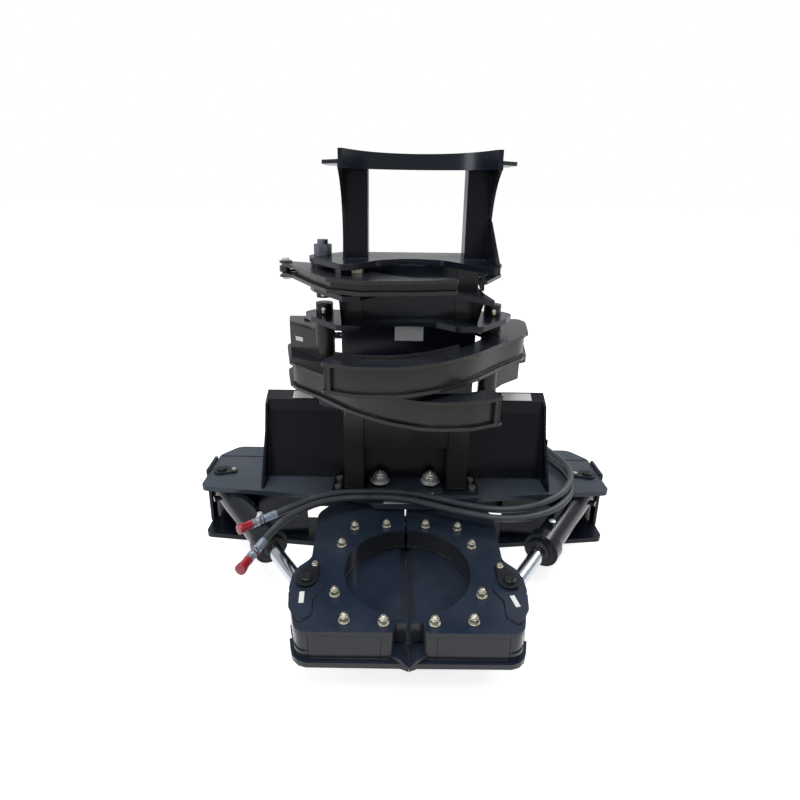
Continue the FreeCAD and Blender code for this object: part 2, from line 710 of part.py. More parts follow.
def lever_pin_spot(extra=0.0):
    angle = math.radians(LEVER_ANGLE + extra)
    return (ARM_PIVOT[0] + LEVER_R * math.cos(angle), ARM_PIVOT[1] + LEVER_R * math.sin(angle))


def arm_frame():
    """The left arm's weldment: flanges, webs, pivot plate, hub tube and lever box."""
    outer = arm_outer_path()
    x, y = ARM_PIVOT
    lever = lever_pin_spot()
    bottom = arm_flange(ARM_LOW, ARM_LOW + ARM_PLATE)
    top = arm_flange(ARM_HIGH - ARM_PLATE, ARM_HIGH)
    web = band(outer, 15, 27, ARM_LOW + 4, ARM_HIGH - 4)
    inner_web = band([(-262, -196), (-170, -303), (-103, -356), (-36, -399), (48, -432), (93, -436), (184, -428),
                      (271, -387)], -14, -4, ARM_LOW + 4, ARM_HIGH - 4)
    cap = band([(286, -462), (262, -404)], 2, 14, ARM_LOW + 4, ARM_HIGH - 4)
    pivot_plate = slab(rear_plan() + [(-296, -200)], ARM_HIGH - 1, ARM_HIGH + 16)
    pivot_plate = pivot_plate.fuse(disc(x, y, ARM_HIGH - 1, ARM_HIGH + 16, 62))
    hub = disc(x, y, P1[1] + 1, P3[0] - 1, HUB_R)
    lid_z = GRAPPLE_Z + GRAPPLE_EYE_H / 2 + 18
    lid = slab([(-478, 84, 10), (-380, 84, 20), (-338, -70), (-344, -112), (-380, -70), (-462, -4, 6)],
               lid_z, lid_z + 14)
    front = slab([(-462, -4), (-344, -112), (-338, -100), (-455, 8)], ARM_HIGH + 10, lid_z + 4)
    shape = joined([bottom, top, web, inner_web, cap, pivot_plate, hub, lid, front, arm_strip()])
    shape = shape.cut(disc(x, y, P1[1] - 10, P3[0] + 10, ARM_PIN_R + FIT))
    shape = shape.cut(disc(lever[0], lever[1], ARM_HIGH - 40, P3[0], GRAPPLE_PIN_R + FIT))
    return shape.removeSplitter()


def arm_strip():
    """Gripping strip on the inner edge, standing past the lower flange."""
    path = [(-150, -319), (-103, -356), (-36, -399), (48, -432), (93, -436), (184, -428), (262, -392)]
    return band(path, -2, 10, ARM_LOW - 12, ARM_HIGH - 6)


def lever_pin():
    x, y = lever_pin_spot()
    low = ARM_HIGH - 11
    high = GRAPPLE_Z + GRAPPLE_EYE_H / 2 + 32
    return disc(x, y, low, high + 6, GRAPPLE_PIN_R).fuse(disc(x, y, high + GAP, high + 7, 20))


def turned_over(shape):
    """A left arm piece turned over and opened a little to make the right arm's piece."""
    moved = shape.copy()
    moved.rotate(vec(0, 0, ARM_FLIP_Z), vec(0, 1, 0), 180)
    return turned(moved, (-ARM_PIVOT[0], ARM_PIVOT[1]), RIGHT_ARM_OPEN)


def grapple_barrel(side):
    shape = cylinder_barrel(GRAPPLE_SIZES)
    shape = shape.fuse(port(70, 0, GRAPPLE_OD, 18))
    shape = shape.fuse(port(270, 0, GRAPPLE_OD, 18))
    shape = shape.removeSplitter()
    spot = lever_pin_spot(0.0 if side < 0 else -RIGHT_ARM_OPEN)
    moved = placed(shape, GRAPPLE_BASE, spot, GRAPPLE_Z)
    if side > 0:
        moved.rotate(vec(0, 0, ARM_FLIP_Z), vec(0, 1, 0), 180)
    return moved


def grapple_rod(side):
    spot = lever_pin_spot(0.0 if side < 0 else -RIGHT_ARM_OPEN)
    play = LEFT_LEVER_PLAY if side < 0 else RIGHT_LEVER_PLAY
    shift = LEFT_EYE_SHIFT if side < 0 else RIGHT_EYE_SHIFT
    shape = cylinder_rod(GRAPPLE_SIZES, span(GRAPPLE_BASE, spot), GRAPPLE_PIN_R + play, 30.0, shift)
    moved = placed(shape, GRAPPLE_BASE, spot, GRAPPLE_Z)
    if side > 0:
        moved.rotate(vec(0, 0, ARM_FLIP_Z), vec(0, 1, 0), 180)
    return moved


# Upper arm

def upper_plan():
    return [(-487, -14, 20), (-440, -72, 10), (-424, -92, 10), (-330, -262, 20), (-268, -362, 24),
            (-155, -410, 40), (10, -397, 60), (150, -368, 10), (140, -322, 8), (10, -338, 60), (-60, -292, 40),
            (-136, -216, 16), (-222, -212, 10), (-262, -182, 10), (-262, -56, 8), (-300, -40, 10),
            (-446, 14, 22)]


def upper_arm_plates():
    shapes = []
    for low in (UPPER_LOW, UPPER_HIGH - UPPER_PLATE):
        plate = slab(upper_plan(), low, low + UPPER_PLATE)
        shapes.append(plate)
    hub = disc(ARM_PIVOT[0], ARM_PIVOT[1], P4[1] + 1, P5[0] - 1, 44)
    web = band([(-424, -92), (-330, -262), (-268, -362), (-155, -410), (10, -397), (150, -368)], 16, 26,
               UPPER_LOW + 2, UPPER_HIGH - 2)
    ring = disc(KNUCKLE[0], KNUCKLE[1], UPPER_LOW - 6, UPPER_LOW + 2, 24)
    ring_top = disc(KNUCKLE[0], KNUCKLE[1], UPPER_HIGH - 2, UPPER_HIGH + 6, 24)
    shape = joined(shapes + [hub, web, ring, ring_top, upper_arm_pad()])
    for x, y, radius in (ARM_PIVOT + (19 + FIT,), KNUCKLE + (UPPER_PIN_R + FIT,), (-175, -248, 12.5)):
        shape = shape.cut(disc(x, y, UPPER_LOW - 50, UPPER_HIGH + 50, radius))
    return shape.removeSplitter()


def upper_arm_pad():
    """Spacer block welded between the two plates."""
    return slab([(-215, -222, 6), (-142, -226, 6), (-100, -262, 6), (-150, -300, 6), (-215, -262, 6)],
                UPPER_LOW + 2, UPPER_HIGH - 2)


def upper_arm_bolts():
    big = disc(-175, -248, UPPER_LOW - 14, UPPER_HIGH + 2, 12)
    head = hexagon(-175, -248, UPPER_HIGH + GAP, UPPER_HIGH + 15, 36, 12)
    nut = hexagon(-175, -248, UPPER_LOW - 14, UPPER_LOW - GAP, 36, 12)
    clamp = joined([big, head, nut])
    x, y = KNUCKLE
    pin = disc(x, y, UPPER_LOW - 14, UPPER_HIGH + 8, UPPER_PIN_R)
    top = hexagon(x, y, UPPER_HIGH + 6.3, UPPER_HIGH + 15, 24)
    low = hexagon(x, y, UPPER_LOW - 15, UPPER_LOW - 6.3, 24)
    return Part.makeCompound([clamp, joined([pin, top, low])])


def upper_barrel():
    shape = cylinder_barrel(UPPER_SIZES, 42.0)
    shape = shape.fuse(port(100, 0, UPPER_OD, 16))
    shape = shape.fuse(port(600, 0, UPPER_OD, 16))
    return placed(shape.removeSplitter(), UPPER_BASE, KNUCKLE, UPPER_Z)


def upper_rod():
    shape = cylinder_rod(UPPER_SIZES, span(UPPER_BASE, KNUCKLE), UPPER_PIN_R + UPPER_PLAY, 26.0, UPPER_EYE_SHIFT)
    return placed(shape, UPPER_BASE, KNUCKLE, UPPER_Z)


def upper_cylinder_lug():
    x, y = UPPER_BASE
    shapes = []
    for low in (UPPER_Z - UPPER_EYE_H / 2 - 13, UPPER_Z + UPPER_EYE_H / 2 + 1):
        points = [(UPRIGHT_OUT + GAP, -176), (UPRIGHT_OUT + 30, -176, 10), (x + 22, y - 20, 10), (x + 22, y + 20, 16),
                  (x - 22, y + 20, 16), (UPRIGHT_OUT + GAP, -98)]
        shapes.append(slab(points, low, low + 12))
    points = [(-176, UPPER_Z - 46), (-176, UPPER_Z + 20), (-60, UPPER_Z + 20), (-60, UPPER_Z - 20)]
    shapes.append(side_profile(points, UPRIGHT_OUT + GAP + 10, UPRIGHT_OUT + GAP + 22))
    shape = joined(shapes)
    return shape.cut(disc(x, y, UPPER_LOW - 50, UPPER_HIGH + 50, UPPER_PIN_R + FIT))


def upper_base_pin():
    x, y = UPPER_BASE
    pin = disc(x, y, UPPER_Z - 36, UPPER_Z + 28, UPPER_PIN_R)
    return pin.fuse(disc(x, y, UPPER_Z + 24.4, UPPER_Z + 32, 13))


# Pins of the mast and frame

def grapple_pins():
    solids = []
    for side in (-1, 1):
        x = side * -ARM_PIVOT[0]
        pin = disc(x, ARM_PIVOT[1], P1[0] - 30, P3[1] + 40, ARM_PIN_R)
        head = hexagon(x, ARM_PIVOT[1], P1[0] - 26, P1[0] - GAP, 55)
        solids.append(pin.fuse(head))
    return Part.makeCompound(solids)


def pin_collars():
    solids = []
    for x, low in ((ARM_PIVOT[0], P3[1] + GAP), (-ARM_PIVOT[0], P3[1] + GAP)):
        collar = tube(x, ARM_PIVOT[1], low, low + 38, 32, ARM_PIN_R + GAP)
        solids.append(collar)
    solids.append(tube(ARM_PIVOT[0], ARM_PIVOT[1], P4[0] - 28, P4[0] - GAP, 28, 19 + GAP))
    return Part.makeCompound(solids)


def upper_pin():
    x, y = ARM_PIVOT
    pin = disc(x, y, P4[0] - 30, P5[1] + 56, 19)
    washer = disc(x, y, P5[1] + GAP, P5[1] + 5, 32)
    nut = hexagon(x, y, P5[1] + 4.9, P5[1] + 40, 55, 8)
    return joined([pin, washer, nut])


def jaw_pivot_pins():
    solids = []
    for side in (-1, 1):
        x = side * -JAW_PIVOT[0]
        y = JAW_PIVOT[1]
        pin = disc(x, y, 4, DECK_TOP + 14, PIVOT_PIN_R)
        stub = disc(x, y, DECK_TOP + 13, DECK_TOP + 36, 18)
        solids.append(pin.fuse(stub))
    return Part.makeCompound(solids)


def jaw_pivot_nuts():
    solids = []
    for side in (-1, 1):
        x = side * -JAW_PIVOT[0]
        y = JAW_PIVOT[1]
        washer = tube(x, y, DECK_TOP + 14 + GAP, DECK_TOP + 19, 38, 18 + GAP)
        nut = hexagon(x, y, DECK_TOP + 18.9, DECK_TOP + 34, 60, 15).cut(disc(x, y, 0, 400, 18 + GAP))
        solids.append(washer.fuse(nut))
    return Part.makeCompound(solids)


def left_base_pin():
    return flag_pin(CYL_BASE[0], CYL_BASE[1], 2, DECK_TOP + GAP, CYL_PIN_R, CYL_KEEPER[0], CYL_KEEPER[1])


def frame_bolts():
    """Plain hexagon bolts of the feet, keeper plates and pin collars."""
    solids = []
    for side in (-1, 1):
        for y in (-180, -118):
            x = side * 266
            bolt = hexagon(x, y, DECK_TOP + 12 + GAP, DECK_TOP + 23, 24).fuse(disc(x, y, DECK_TOP + 0.5, DECK_TOP + 14, 8))
            solids.append(bolt)
        x = side * -CYL_KEEPER[0]
        y = CYL_KEEPER[1]
        keeper = hexagon(x, y, DECK_TOP + 8.6, DECK_TOP + 16, 17).fuse(disc(x, y, DECK_TOP + 1, DECK_TOP + 10, 5))
        solids.append(keeper)
    for x, z in ((ARM_PIVOT[0], P3[1] + 20), (-ARM_PIVOT[0], P3[1] + 20), (ARM_PIVOT[0], P4[0] - 14)):
        face = ARM_PIVOT[1] - (32 if z < P4[0] - 20 else 28) - GAP
        solids.append(Part.makeCylinder(7, 7, vec(x, face - 7, z), vec(0, 1, 0)))
    return Part.makeCompound(solids)


# Hoses

def rounded_route(points, radii):
    """A wire of straight runs joined by tangent arcs."""
    edges = []
    last = vec(*points[0])
    for i in range(1, len(points) - 1):
        before, here, after = vec(*points[i - 1]), vec(*points[i]), vec(*points[i + 1])
        a = (before - here).normalize()
        b = (after - here).normalize()
        half = a.getAngle(b) / 2.0
        reach = radii[i - 1] / math.tan(half)
        middle = (a + b).normalize()
        start = here + a * reach
        end = here + b * reach
        top = here + middle * (radii[i - 1] / math.sin(half) - radii[i - 1])
        if (start - last).Length > 1e-6:
            edges.append(Part.LineSegment(last, start).toShape())
        edges.append(Part.Arc(start, top, end).toShape())
        last = end
    edges.append(Part.LineSegment(last, vec(*points[-1])).toShape())
    return Part.Wire(edges)


def bend_radii(points):
    radii = []
    for i in range(1, len(points) - 1):
        before, here, after = vec(*points[i - 1]), vec(*points[i]), vec(*points[i + 1])
        turn = math.pi - (before - here).getAngle(after - here)
        run = min((before - here).Length, (after - here).Length)
        radii.append(0.45 * run / math.tan(turn / 2.0))
    return radii


def hose(name, points, radius):
    radii = bend_radii(points)
    print(name, "bend radii", [round(r) for r in radii])
    wire = rounded_route(points, radii)
    direction = (vec(*points[1]) - vec(*points[0])).normalize()
    circle = Part.Wire(Part.makeCircle(radius, vec(*points[0]), direction))
    solid = wire.makePipeShell([circle], True, False)
    print(name, "length", round(wire.Length), "volume", round(solid.Volume), "expected",
          round(math.pi * radius * radius * wire.Length))
    return solid


HOSE_Z = DECK_TOP + HOSE_R + 1
UPPER_HOSE = [(622, 128, 290), (634, 92, 288), (668, 30, 284), (690, -55, 281), (670, -150, 280),
              (610, -240, 279), (530, -302, 275), (440, -336, 269), (340, -342, 263), (240, -312, 259),
              (150, -275, 258), (50, -232, HOSE_Z + 4), (-60, -217, HOSE_Z + 3), (-160, -224, HOSE_Z + 6),
              (-255, -246, HOSE_Z + 15), (-335, -294, HOSE_Z + 24), (-400, -352, HOSE_Z + 30),
              (-462, -418, HOSE_Z + 36)]
LOWER_HOSE = [(622, 128, 259), (632, 90, 257), (660, 22, HOSE_Z + 1), (686, -70, HOSE_Z), (672, -170, HOSE_Z),
              (612, -268, HOSE_Z), (530, -338, HOSE_Z + 1), (435, -378, HOSE_Z + 2), (340, -384, HOSE_Z + 2),
              (245, -362, HOSE_Z + 2), (150, -326, HOSE_Z + 2), (70, -292, HOSE_Z + 3), (0, -267, HOSE_Z + 4),
              (-95, -257, HOSE_Z + 4), (-190, -267, HOSE_Z + 8), (-278, -298, HOSE_Z + 18),
              (-350, -348, HOSE_Z + 26), (-410, -420, HOSE_Z + 32), (-448, -496, HOSE_Z + 36),
              (-468, -572, HOSE_Z + 38)]


def end_frame(points):
    tip = vec(*points[-1])
    direction = (tip - vec(*points[-2])).normalize()
    return tip, direction


def coupler(points):
    """Crimped ferrule, hexagon and quick coupler on a hose's free end."""
    tip, d = end_frame(points)
    ferrule = Part.makeCylinder(17, 48, tip, d)
    body = Part.makeCylinder(15, 34, tip + d * 47, d)
    nut = Part.makeCylinder(19, 22, tip + d * 60, d)
    nose = Part.makeCylinder(16, 44, tip + d * 80, d)
    return joined([ferrule, body, nut, nose])


def cap(points):
    tip, d = end_frame(points)
    start = tip + d * 104
    outer = Part.makeCylinder(21, 40, start, d)
    inner = Part.makeCylinder(16 + GAP, 22, start - d, d)
    return outer.cut(inner)


def hose_bulkhead():
    """Upright bracket on the right wing with two hose fittings, one over the other."""
    foot = slab([(598, 134, 4), (652, 134, 4), (652, 170, 6), (598, 170, 6)], DECK_TOP, DECK_TOP + 10)
    wall = block(600, 650, 136, 146, DECK_TOP + 5, DECK_TOP + 70)
    shapes = [foot, wall]
    for points in (UPPER_HOSE, LOWER_HOSE):
        start = vec(*points[0])
        d = (start - vec(*points[1])).normalize()
        shapes.append(Part.makeCylinder(15, 32, start, d))
    return joined(shapes)


def hose_tie():
    """Band that holds the two hoses together in front of the mast."""
    x = -140
    low = HOSE_Z - HOSE_R - 0.5
    outer = block(x - 6, x + 6, -285, -204, low, low + 36)
    inner = block(x - 7, x + 7, -282.5, -206.5, low + 2.5, low + 33.5)
    return outer.cut(inner)


def main():
    save("frame_bottom_plate", frame_bottom_plate())
    save("frame_top_plate", frame_top_plate())
    web = side_web()
    bar = wing_bar()
    save("frame_webs", Part.makeCompound([web, mirrored(web), bar, mirrored(bar)]))
    save("attach_plate", attach_plate())
    save("jaw_pivot_pins", jaw_pivot_pins())
    save("jaw_pivot_nuts", jaw_pivot_nuts())
    base_pin = left_base_pin()
    save("cylinder_base_pins", Part.makeCompound([base_pin, mirrored(base_pin)]))
    save("frame_bolts", frame_bolts())
    left_upright = upright()
    save("mast_upright_left", left_upright)
    save("mast_upright_right", mirrored(left_upright))
    save("mast_front_plate_lower", mast_front_plate_lower())
    save("mast_front_plate_upper", mast_front_plate_upper())
    save("mast_back_bracket", mast_back_bracket())
    save("cylinder_anchor_pins", cylinder_anchor_pins())
    save("grapple_plate_lower", grapple_plate_lower())
    save("grapple_plate_upper", grapple_plate_upper())
    save("trunk_cradle_lower", trunk_cradle_lower())
    save("trunk_cradle_upper", trunk_cradle_upper())
    save("grapple_pins", grapple_pins())
    save("pin_collars", pin_collars())
    save("upper_pin", upper_pin())
    save("top_side_plate_left", top_placed(top_side_plate()))
    save("top_side_plate_right", top_placed(right_side_plate()))
    save("top_saddle", top_placed(top_saddle()))
    save("top_saddle_plate", top_placed(top_saddle_plate()))
    save("upper_cylinder_lug", upper_cylinder_lug())
    save("hose_upper", hose("hose_upper", UPPER_HOSE, HOSE_R))
    save("hose_lower", hose("hose_lower", LOWER_HOSE, HOSE_R))
    save("coupler_upper", coupler(UPPER_HOSE))
    save("coupler_lower", coupler(LOWER_HOSE))
    save("cap_upper", cap(UPPER_HOSE))
    save("cap_lower", cap(LOWER_HOSE))
    save("hose_bulkhead", hose_bulkhead())
    save("hose_tie", hose_tie())

    for name, shape in (("body", left_jaw_body()), ("blade", left_jaw_blade()), ("bolts", left_jaw_bolts()),
                        ("nuts", left_jaw_nuts()), ("pin", left_jaw_pin()), ("barrel", left_jaw_barrel()),
                        ("rod", left_jaw_rod())):
        save("left_jaw_" + name, shape)
        save("right_jaw_" + name, mirrored(shape))

    for name, shape in (("arm", arm_frame()), ("lever_pin", lever_pin())):
        save("left_" + name, shape)
        save("right_" + name, turned_over(shape))
    save("left_grapple_barrel", grapple_barrel(-1))
    save("right_grapple_barrel", grapple_barrel(1))
    save("left_grapple_rod", grapple_rod(-1))
    save("right_grapple_rod", grapple_rod(1))

    save("upper_arm", upper_arm_plates())
    save("upper_arm_bolts", upper_arm_bolts())
    save("upper_barrel", upper_barrel())
    save("upper_rod", upper_rod())


main()
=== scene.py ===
# %% [markdown]
# # Dressing a grapple tree shear
# The solids of this tree shear already have their true shapes and places. This lesson gives each of them
# the finish of the real tool: glossy black paint on flame-cut steel, chromed rods, yellow plated fasteners
# and rubber hoses. It then models the small things that the solids leave plain, such as weld beads, nuts,
# couplers and grease nipples. Turned shapes are written in metres. Outlines, seams and corners are written
# in millimetres, as on the shop drawing, and MM turns them into metres.

# %% Load the solids
import math

import bpy
from mathutils import Matrix, Vector


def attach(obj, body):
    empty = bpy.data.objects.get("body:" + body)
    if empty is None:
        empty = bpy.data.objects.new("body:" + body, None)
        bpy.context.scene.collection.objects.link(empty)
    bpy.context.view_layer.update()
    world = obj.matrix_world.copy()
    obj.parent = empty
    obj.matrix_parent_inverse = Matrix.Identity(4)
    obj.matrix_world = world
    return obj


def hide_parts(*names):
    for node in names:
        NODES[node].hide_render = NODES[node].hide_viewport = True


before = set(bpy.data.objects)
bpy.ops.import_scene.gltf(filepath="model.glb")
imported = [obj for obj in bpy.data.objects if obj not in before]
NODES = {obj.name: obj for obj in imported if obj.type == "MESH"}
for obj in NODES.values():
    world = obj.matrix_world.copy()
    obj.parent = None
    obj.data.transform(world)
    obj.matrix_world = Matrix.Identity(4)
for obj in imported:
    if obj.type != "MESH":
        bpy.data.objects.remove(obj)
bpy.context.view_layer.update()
MM = 0.001
for leftover in ("Cube", "Light", "Camera"):
    if leftover in bpy.data.objects:
        bpy.data.objects.remove(bpy.data.objects[leftover])

# %% [markdown]
# ## Shader sums as plain expressions
# A finish is a sum of patterns. Wiring Math nodes one by one hides the idea, so one small class wraps a
# socket and lets Python's own operators add the nodes.

# %% A socket that can be used in sums
class Value:
    def __init__(self, finish, socket):
        self.finish = finish
        self.socket = socket

    def sum(self, operation, *terms):
        return self.finish.node("ShaderNodeMath", {"operation": operation}, dict(enumerate(terms)))

    def __add__(self, other):
        return self.sum("ADD", self, other)

    __radd__ = __add__

    def __rsub__(self, other):
        return self.sum("SUBTRACT", other, self)

    def __mul__(self, other):
        return self.sum("MULTIPLY", self, other)

    __rmul__ = __mul__

    def clamped(self):
        return self.sum("MAXIMUM", self.sum("MINIMUM", self, 1.0), 0.0)

    def band(self, low, high):
        """0 below low, 1 above high, smooth between."""
        settings = {"interpolation_type": "SMOOTHSTEP"}
        terms = {"Value": self, "From Min": low, "From Max": high}
        return self.finish.node("ShaderNodeMapRange", settings, terms, "Result")


# %% [markdown]
# ## One class for every finish
# A finish owns one material. Its method node() takes a node's type, its settings and its sockets, and every
# other method is a pattern that several finishes share: a noise, a blend of two colours, the faces that
# look up, or the places near an edge. Patterns read Object coordinates, so they stay put when a body of the
# tool moves.

# %% A finish and its nodes
class Finish:
    def __init__(self, name):
        self.material = bpy.data.materials.new(name)
        self.material.use_nodes = True
        self.tree = self.material.node_tree
        self.shader = self.tree.nodes["Principled BSDF"]
        self.place = self.node("ShaderNodeTexCoord", {}, {}, "Object")
        self.facing = self.node("ShaderNodeTexCoord", {}, {}, "Normal")

    def node(self, kind, settings, terms, output=0):
        made = self.tree.nodes.new(kind)
        for key, setting in settings.items():
            setattr(made, key, setting)
        for key, term in terms.items():
            if isinstance(term, Value):
                self.tree.links.new(term.socket, made.inputs[key])
            else:
                made.inputs[key].default_value = term
        return Value(self, made.outputs[output])

    def set(self, **constants):
        for key, constant in constants.items():
            self.shader.inputs[key.replace("_", " ")].default_value = constant
        return self

    def feed(self, name, value):
        self.tree.links.new(value.socket, self.shader.inputs[name])
        return self

    def stretched(self, scale):
        return self.node("ShaderNodeMapping", {}, {"Vector": self.place, "Scale": scale})

    def noise(self, scale, detail=3.0, rough=0.55, where=None):
        terms = {"Vector": where or self.place, "Scale": scale, "Detail": detail, "Roughness": rough}
        return self.node("ShaderNodeTexNoise", {}, terms, "Fac")

    def blend(self, share, first, second):
        """The first colour where the share is 0, the second where it is 1."""
        made = self.tree.nodes.new("ShaderNodeMix")
        made.data_type = "RGBA"
        for place, term in (("Factor", share), (6, first), (7, second)):
            if isinstance(term, Value):
                self.tree.links.new(term.socket, made.inputs[place])
            else:
                made.inputs[place].default_value = term if isinstance(term, float) else (*term, 1.0)
        return Value(self, made.outputs[2])

    def upward(self):
        """1 on faces that look up, 0 on faces that look sideways or down."""
        height = self.node("ShaderNodeSeparateXYZ", {}, {"Vector": self.facing}, "Z")
        return height.band(0.55, 0.95)

    def soft_edges(self, radius):
        return self.node("ShaderNodeBevel", {"samples": 4}, {"Radius": radius})

    def edge_share(self, soft):
        """1 where a sharp edge is near."""
        true_normal = self.node("ShaderNodeNewGeometry", {}, {}, "Normal")
        settings = {"operation": "DOT_PRODUCT"}
        same = self.node("ShaderNodeVectorMath", settings, {0: soft, 1: true_normal}, "Value")
        return (1.0 - same).band(0.01, 0.16)

    def bump(self, height, strength, distance, normal=None):
        terms = {"Height": height, "Strength": strength, "Distance": distance}
        if normal is not None:
            terms["Normal"] = normal
        return self.feed("Normal", self.node("ShaderNodeBump", {}, terms, "Normal"))


# %% [markdown]
# ## Black paint
# The tool is painted glossy black over hot-rolled plate. In the light it isn't one black: dust dulls the
# faces that look up and a painted sky reflection lightens them in blue-grey, a painted reflection of the
# brown ground warms the upright ones, the sprayed coat has a faint orange peel, and a painted highlight
# lightens the flame-cut edges, which are worn to bare steel in places. The Bevel node rounds the shading of
# every sharp edge, and its difference from the true normal finds those edges. A painted texture would need
# unwrapped solids, so noise in Object coordinates is the simpler way.

# %% The coat, what lies on it, and its painted light
# Brown tone of the painted reflection of the ground, on faces that don't look up.
GROUND_REFLECTION_TONE = (0.047, 0.042, 0.036)
# Blue-grey tone of dust and of the painted sky reflection, on faces that look up.
DUST_AND_SKY_TONE = (0.062, 0.069, 0.082)
# Tone of the painted highlight along sharp edges.
PAINTED_EDGE_HIGHLIGHT = (0.060, 0.062, 0.068)
BARE_STEEL = (0.22, 0.21, 0.20)
PLATE_EDGE = 0.0016


# The dust share also sets the painted sky reflection on faces that look up; another share sets the painted
# reflection of the brown ground on the other faces.
def black_paint(name, colour, gloss, dust=0.5, wear=0.5, ripple=0.0, ground_reflection=0.0, shine=0.24):
    paint = Finish(name)
    soft = paint.soft_edges(PLATE_EDGE)
    edge = paint.edge_share(soft)
    cloud = paint.noise(scale=5.0, detail=4.0)
    grit = paint.noise(scale=160.0, detail=2.0)
    scuff = paint.noise(scale=38.0, detail=5.0, rough=0.7, where=paint.stretched((1.0, 1.0, 2.6)))
    up = paint.upward()
    # Dust and painted sky reflection, in patches on faces that look up.
    dust_and_sky_sheen = up * cloud.band(0.35, 0.8) * dust
    bare = edge * scuff.band(0.54, 0.68) * wear
    tone = paint.blend((cloud * 0.8).clamped(), colour, [1.4 * part for part in colour])
    # Painted reflection of the brown ground on faces that don't look up.
    tone = paint.blend(((1.0 - up) * (0.55 + cloud * 0.45) * ground_reflection).clamped(), tone, GROUND_REFLECTION_TONE)
    # Dust and painted sky reflection lighten the faces that look up.
    tone = paint.blend((dust_and_sky_sheen * 0.5).clamped(), tone, DUST_AND_SKY_TONE)
    # Painted highlight along sharp edges.
    tone = paint.blend((edge * 0.30).clamped(), tone, PAINTED_EDGE_HIGHLIGHT)
    tone = paint.blend(bare.clamped(), tone, BARE_STEEL)
    paint.feed("Base Color", tone)
    rough = gloss + cloud * 0.08 + dust_and_sky_sheen * 0.16 + scuff.band(0.6, 0.75) * 0.10
    paint.feed("Roughness", rough.clamped())
    beads = paint.noise(scale=340.0, detail=1.0) * ripple
    peel = grit * 0.4 + paint.noise(scale=55.0, detail=2.0) * 0.6
    paint.bump(peel + beads, 0.10 + 0.25 * ripple, 0.0006, soft)
    paint.set(Specular_IOR_Level=shine, Coat_Weight=0.04, Coat_Roughness=0.10)
    return paint.material


# %% Paint for plate, panel, deck, mast, jaws, arms, pins, barrels and weld beads
BLUE_BLACK = (0.0045, 0.0065, 0.0125)
PLATE_PAINT = black_paint("black_paint", BLUE_BLACK, 0.17)
# The panel's paint is darker than the plate's: painted shade on the panel; its sheen is weaker too.
PANEL_PAINT = black_paint("black_paint_panel", (0.0040, 0.0050, 0.0085), 0.24, shine=0.14)
# The deck's paint is a much lighter blue-grey than the plate's: painted sky reflection and sunlight on the
# deck and wings, under extra dust.
DECK_PAINT = black_paint("black_paint_deck", (0.038, 0.048, 0.064), 0.20, dust=1.4)
# The mast's uprights and lower front plate get the painted reflection of the brown ground on their sides.
MAST_PAINT = black_paint("black_paint_mast", BLUE_BLACK, 0.17, ground_reflection=0.80)
# The jaws' paint is lighter and bluer than the plate's: painted sky reflection on their tops; their fronts
# get the painted reflection of the ground.
JAW_PAINT = black_paint("black_paint_jaws", (0.0130, 0.0195, 0.0350), 0.15, ground_reflection=0.62)
# The arms get the painted reflection of the brown ground on their fronts.
ARM_PAINT = black_paint("black_paint_arms", (0.0070, 0.0080, 0.0115), 0.19, dust=0.35, ground_reflection=0.85)
# The pins' paint is lighter than the plate's: painted light on the pin heads, as on the deck round them.
PIN_PAINT = black_paint("black_paint_pins", (0.010, 0.0105, 0.013), 0.24, dust=0.3, wear=0.9)
BARREL_PAINT = black_paint("black_paint_barrels", (0.0045, 0.006, 0.010), 0.14, dust=0.2, wear=0.2)
WELD_PAINT = black_paint("black_paint_welds", (0.006, 0.008, 0.015), 0.14, dust=0.1, wear=0.1, ripple=2.0)
print("paints mixed")

# %% [markdown]
# ## Chromed rods with painted eyes
# A rod is hard chrome, so it is nearly a mirror, with fine lines round it from grinding. The forged eye at
# its end is painted black. Rod and eye are one solid, so the finish measures how far a point lies from the
# eye's centre in plan, and changes from paint to chrome at the eye's radius. Cutting the solid in two would
# do it as well, but a solid keeps its mesh.

# %% Chrome, and the eye of each rod
CHROME_TONE = (0.50, 0.53, 0.58)
EYE_TONE = (0.008, 0.009, 0.013)
ROD_EYES = {"left_jaw_rod": ((-0.3181, -0.6640), 0.0385), "right_jaw_rod": ((0.3181, -0.6640), 0.0385),
            "left_grapple_rod": ((-0.3905, 0.0351), 0.0365), "right_grapple_rod": ((0.3820, 0.0393), 0.0365),
            "upper_rod": ((-0.4660, -0.0072), 0.0225)}


def chrome(name, eye, reach):
    """Black paint nearer to the eye's centre than reach, hard chrome on the rest of the rod."""
    metal = Finish(name)
    lines = metal.noise(scale=900.0, detail=2.0)
    plan = metal.stretched((1.0, 1.0, 0.0))
    away = metal.node("ShaderNodeVectorMath", {"operation": "DISTANCE"}, {0: plan, 1: (*eye, 0.0)}, "Value")
    polished = away.band(reach, reach + 0.001)
    metal.feed("Metallic", polished)
    metal.feed("Base Color", metal.blend(polished, EYE_TONE, CHROME_TONE))
    metal.feed("Roughness", 0.07 + lines * 0.07 + metal.noise(scale=9.0) * 0.05 + (1.0 - polished) * 0.16)
    metal.bump(lines, 0.04, 0.0002, metal.soft_edges(0.001))
    return metal.material


# %% [markdown]
# ## Zinc and brass
# The bolts are yellow plated: a pale gold that drifts towards green and rose. The big pivot nuts, the
# couplers and the plugs are plain zinc, and the grease nipples are brass. All of them are one metal whose
# colour drifts between three tones, so one function makes them.

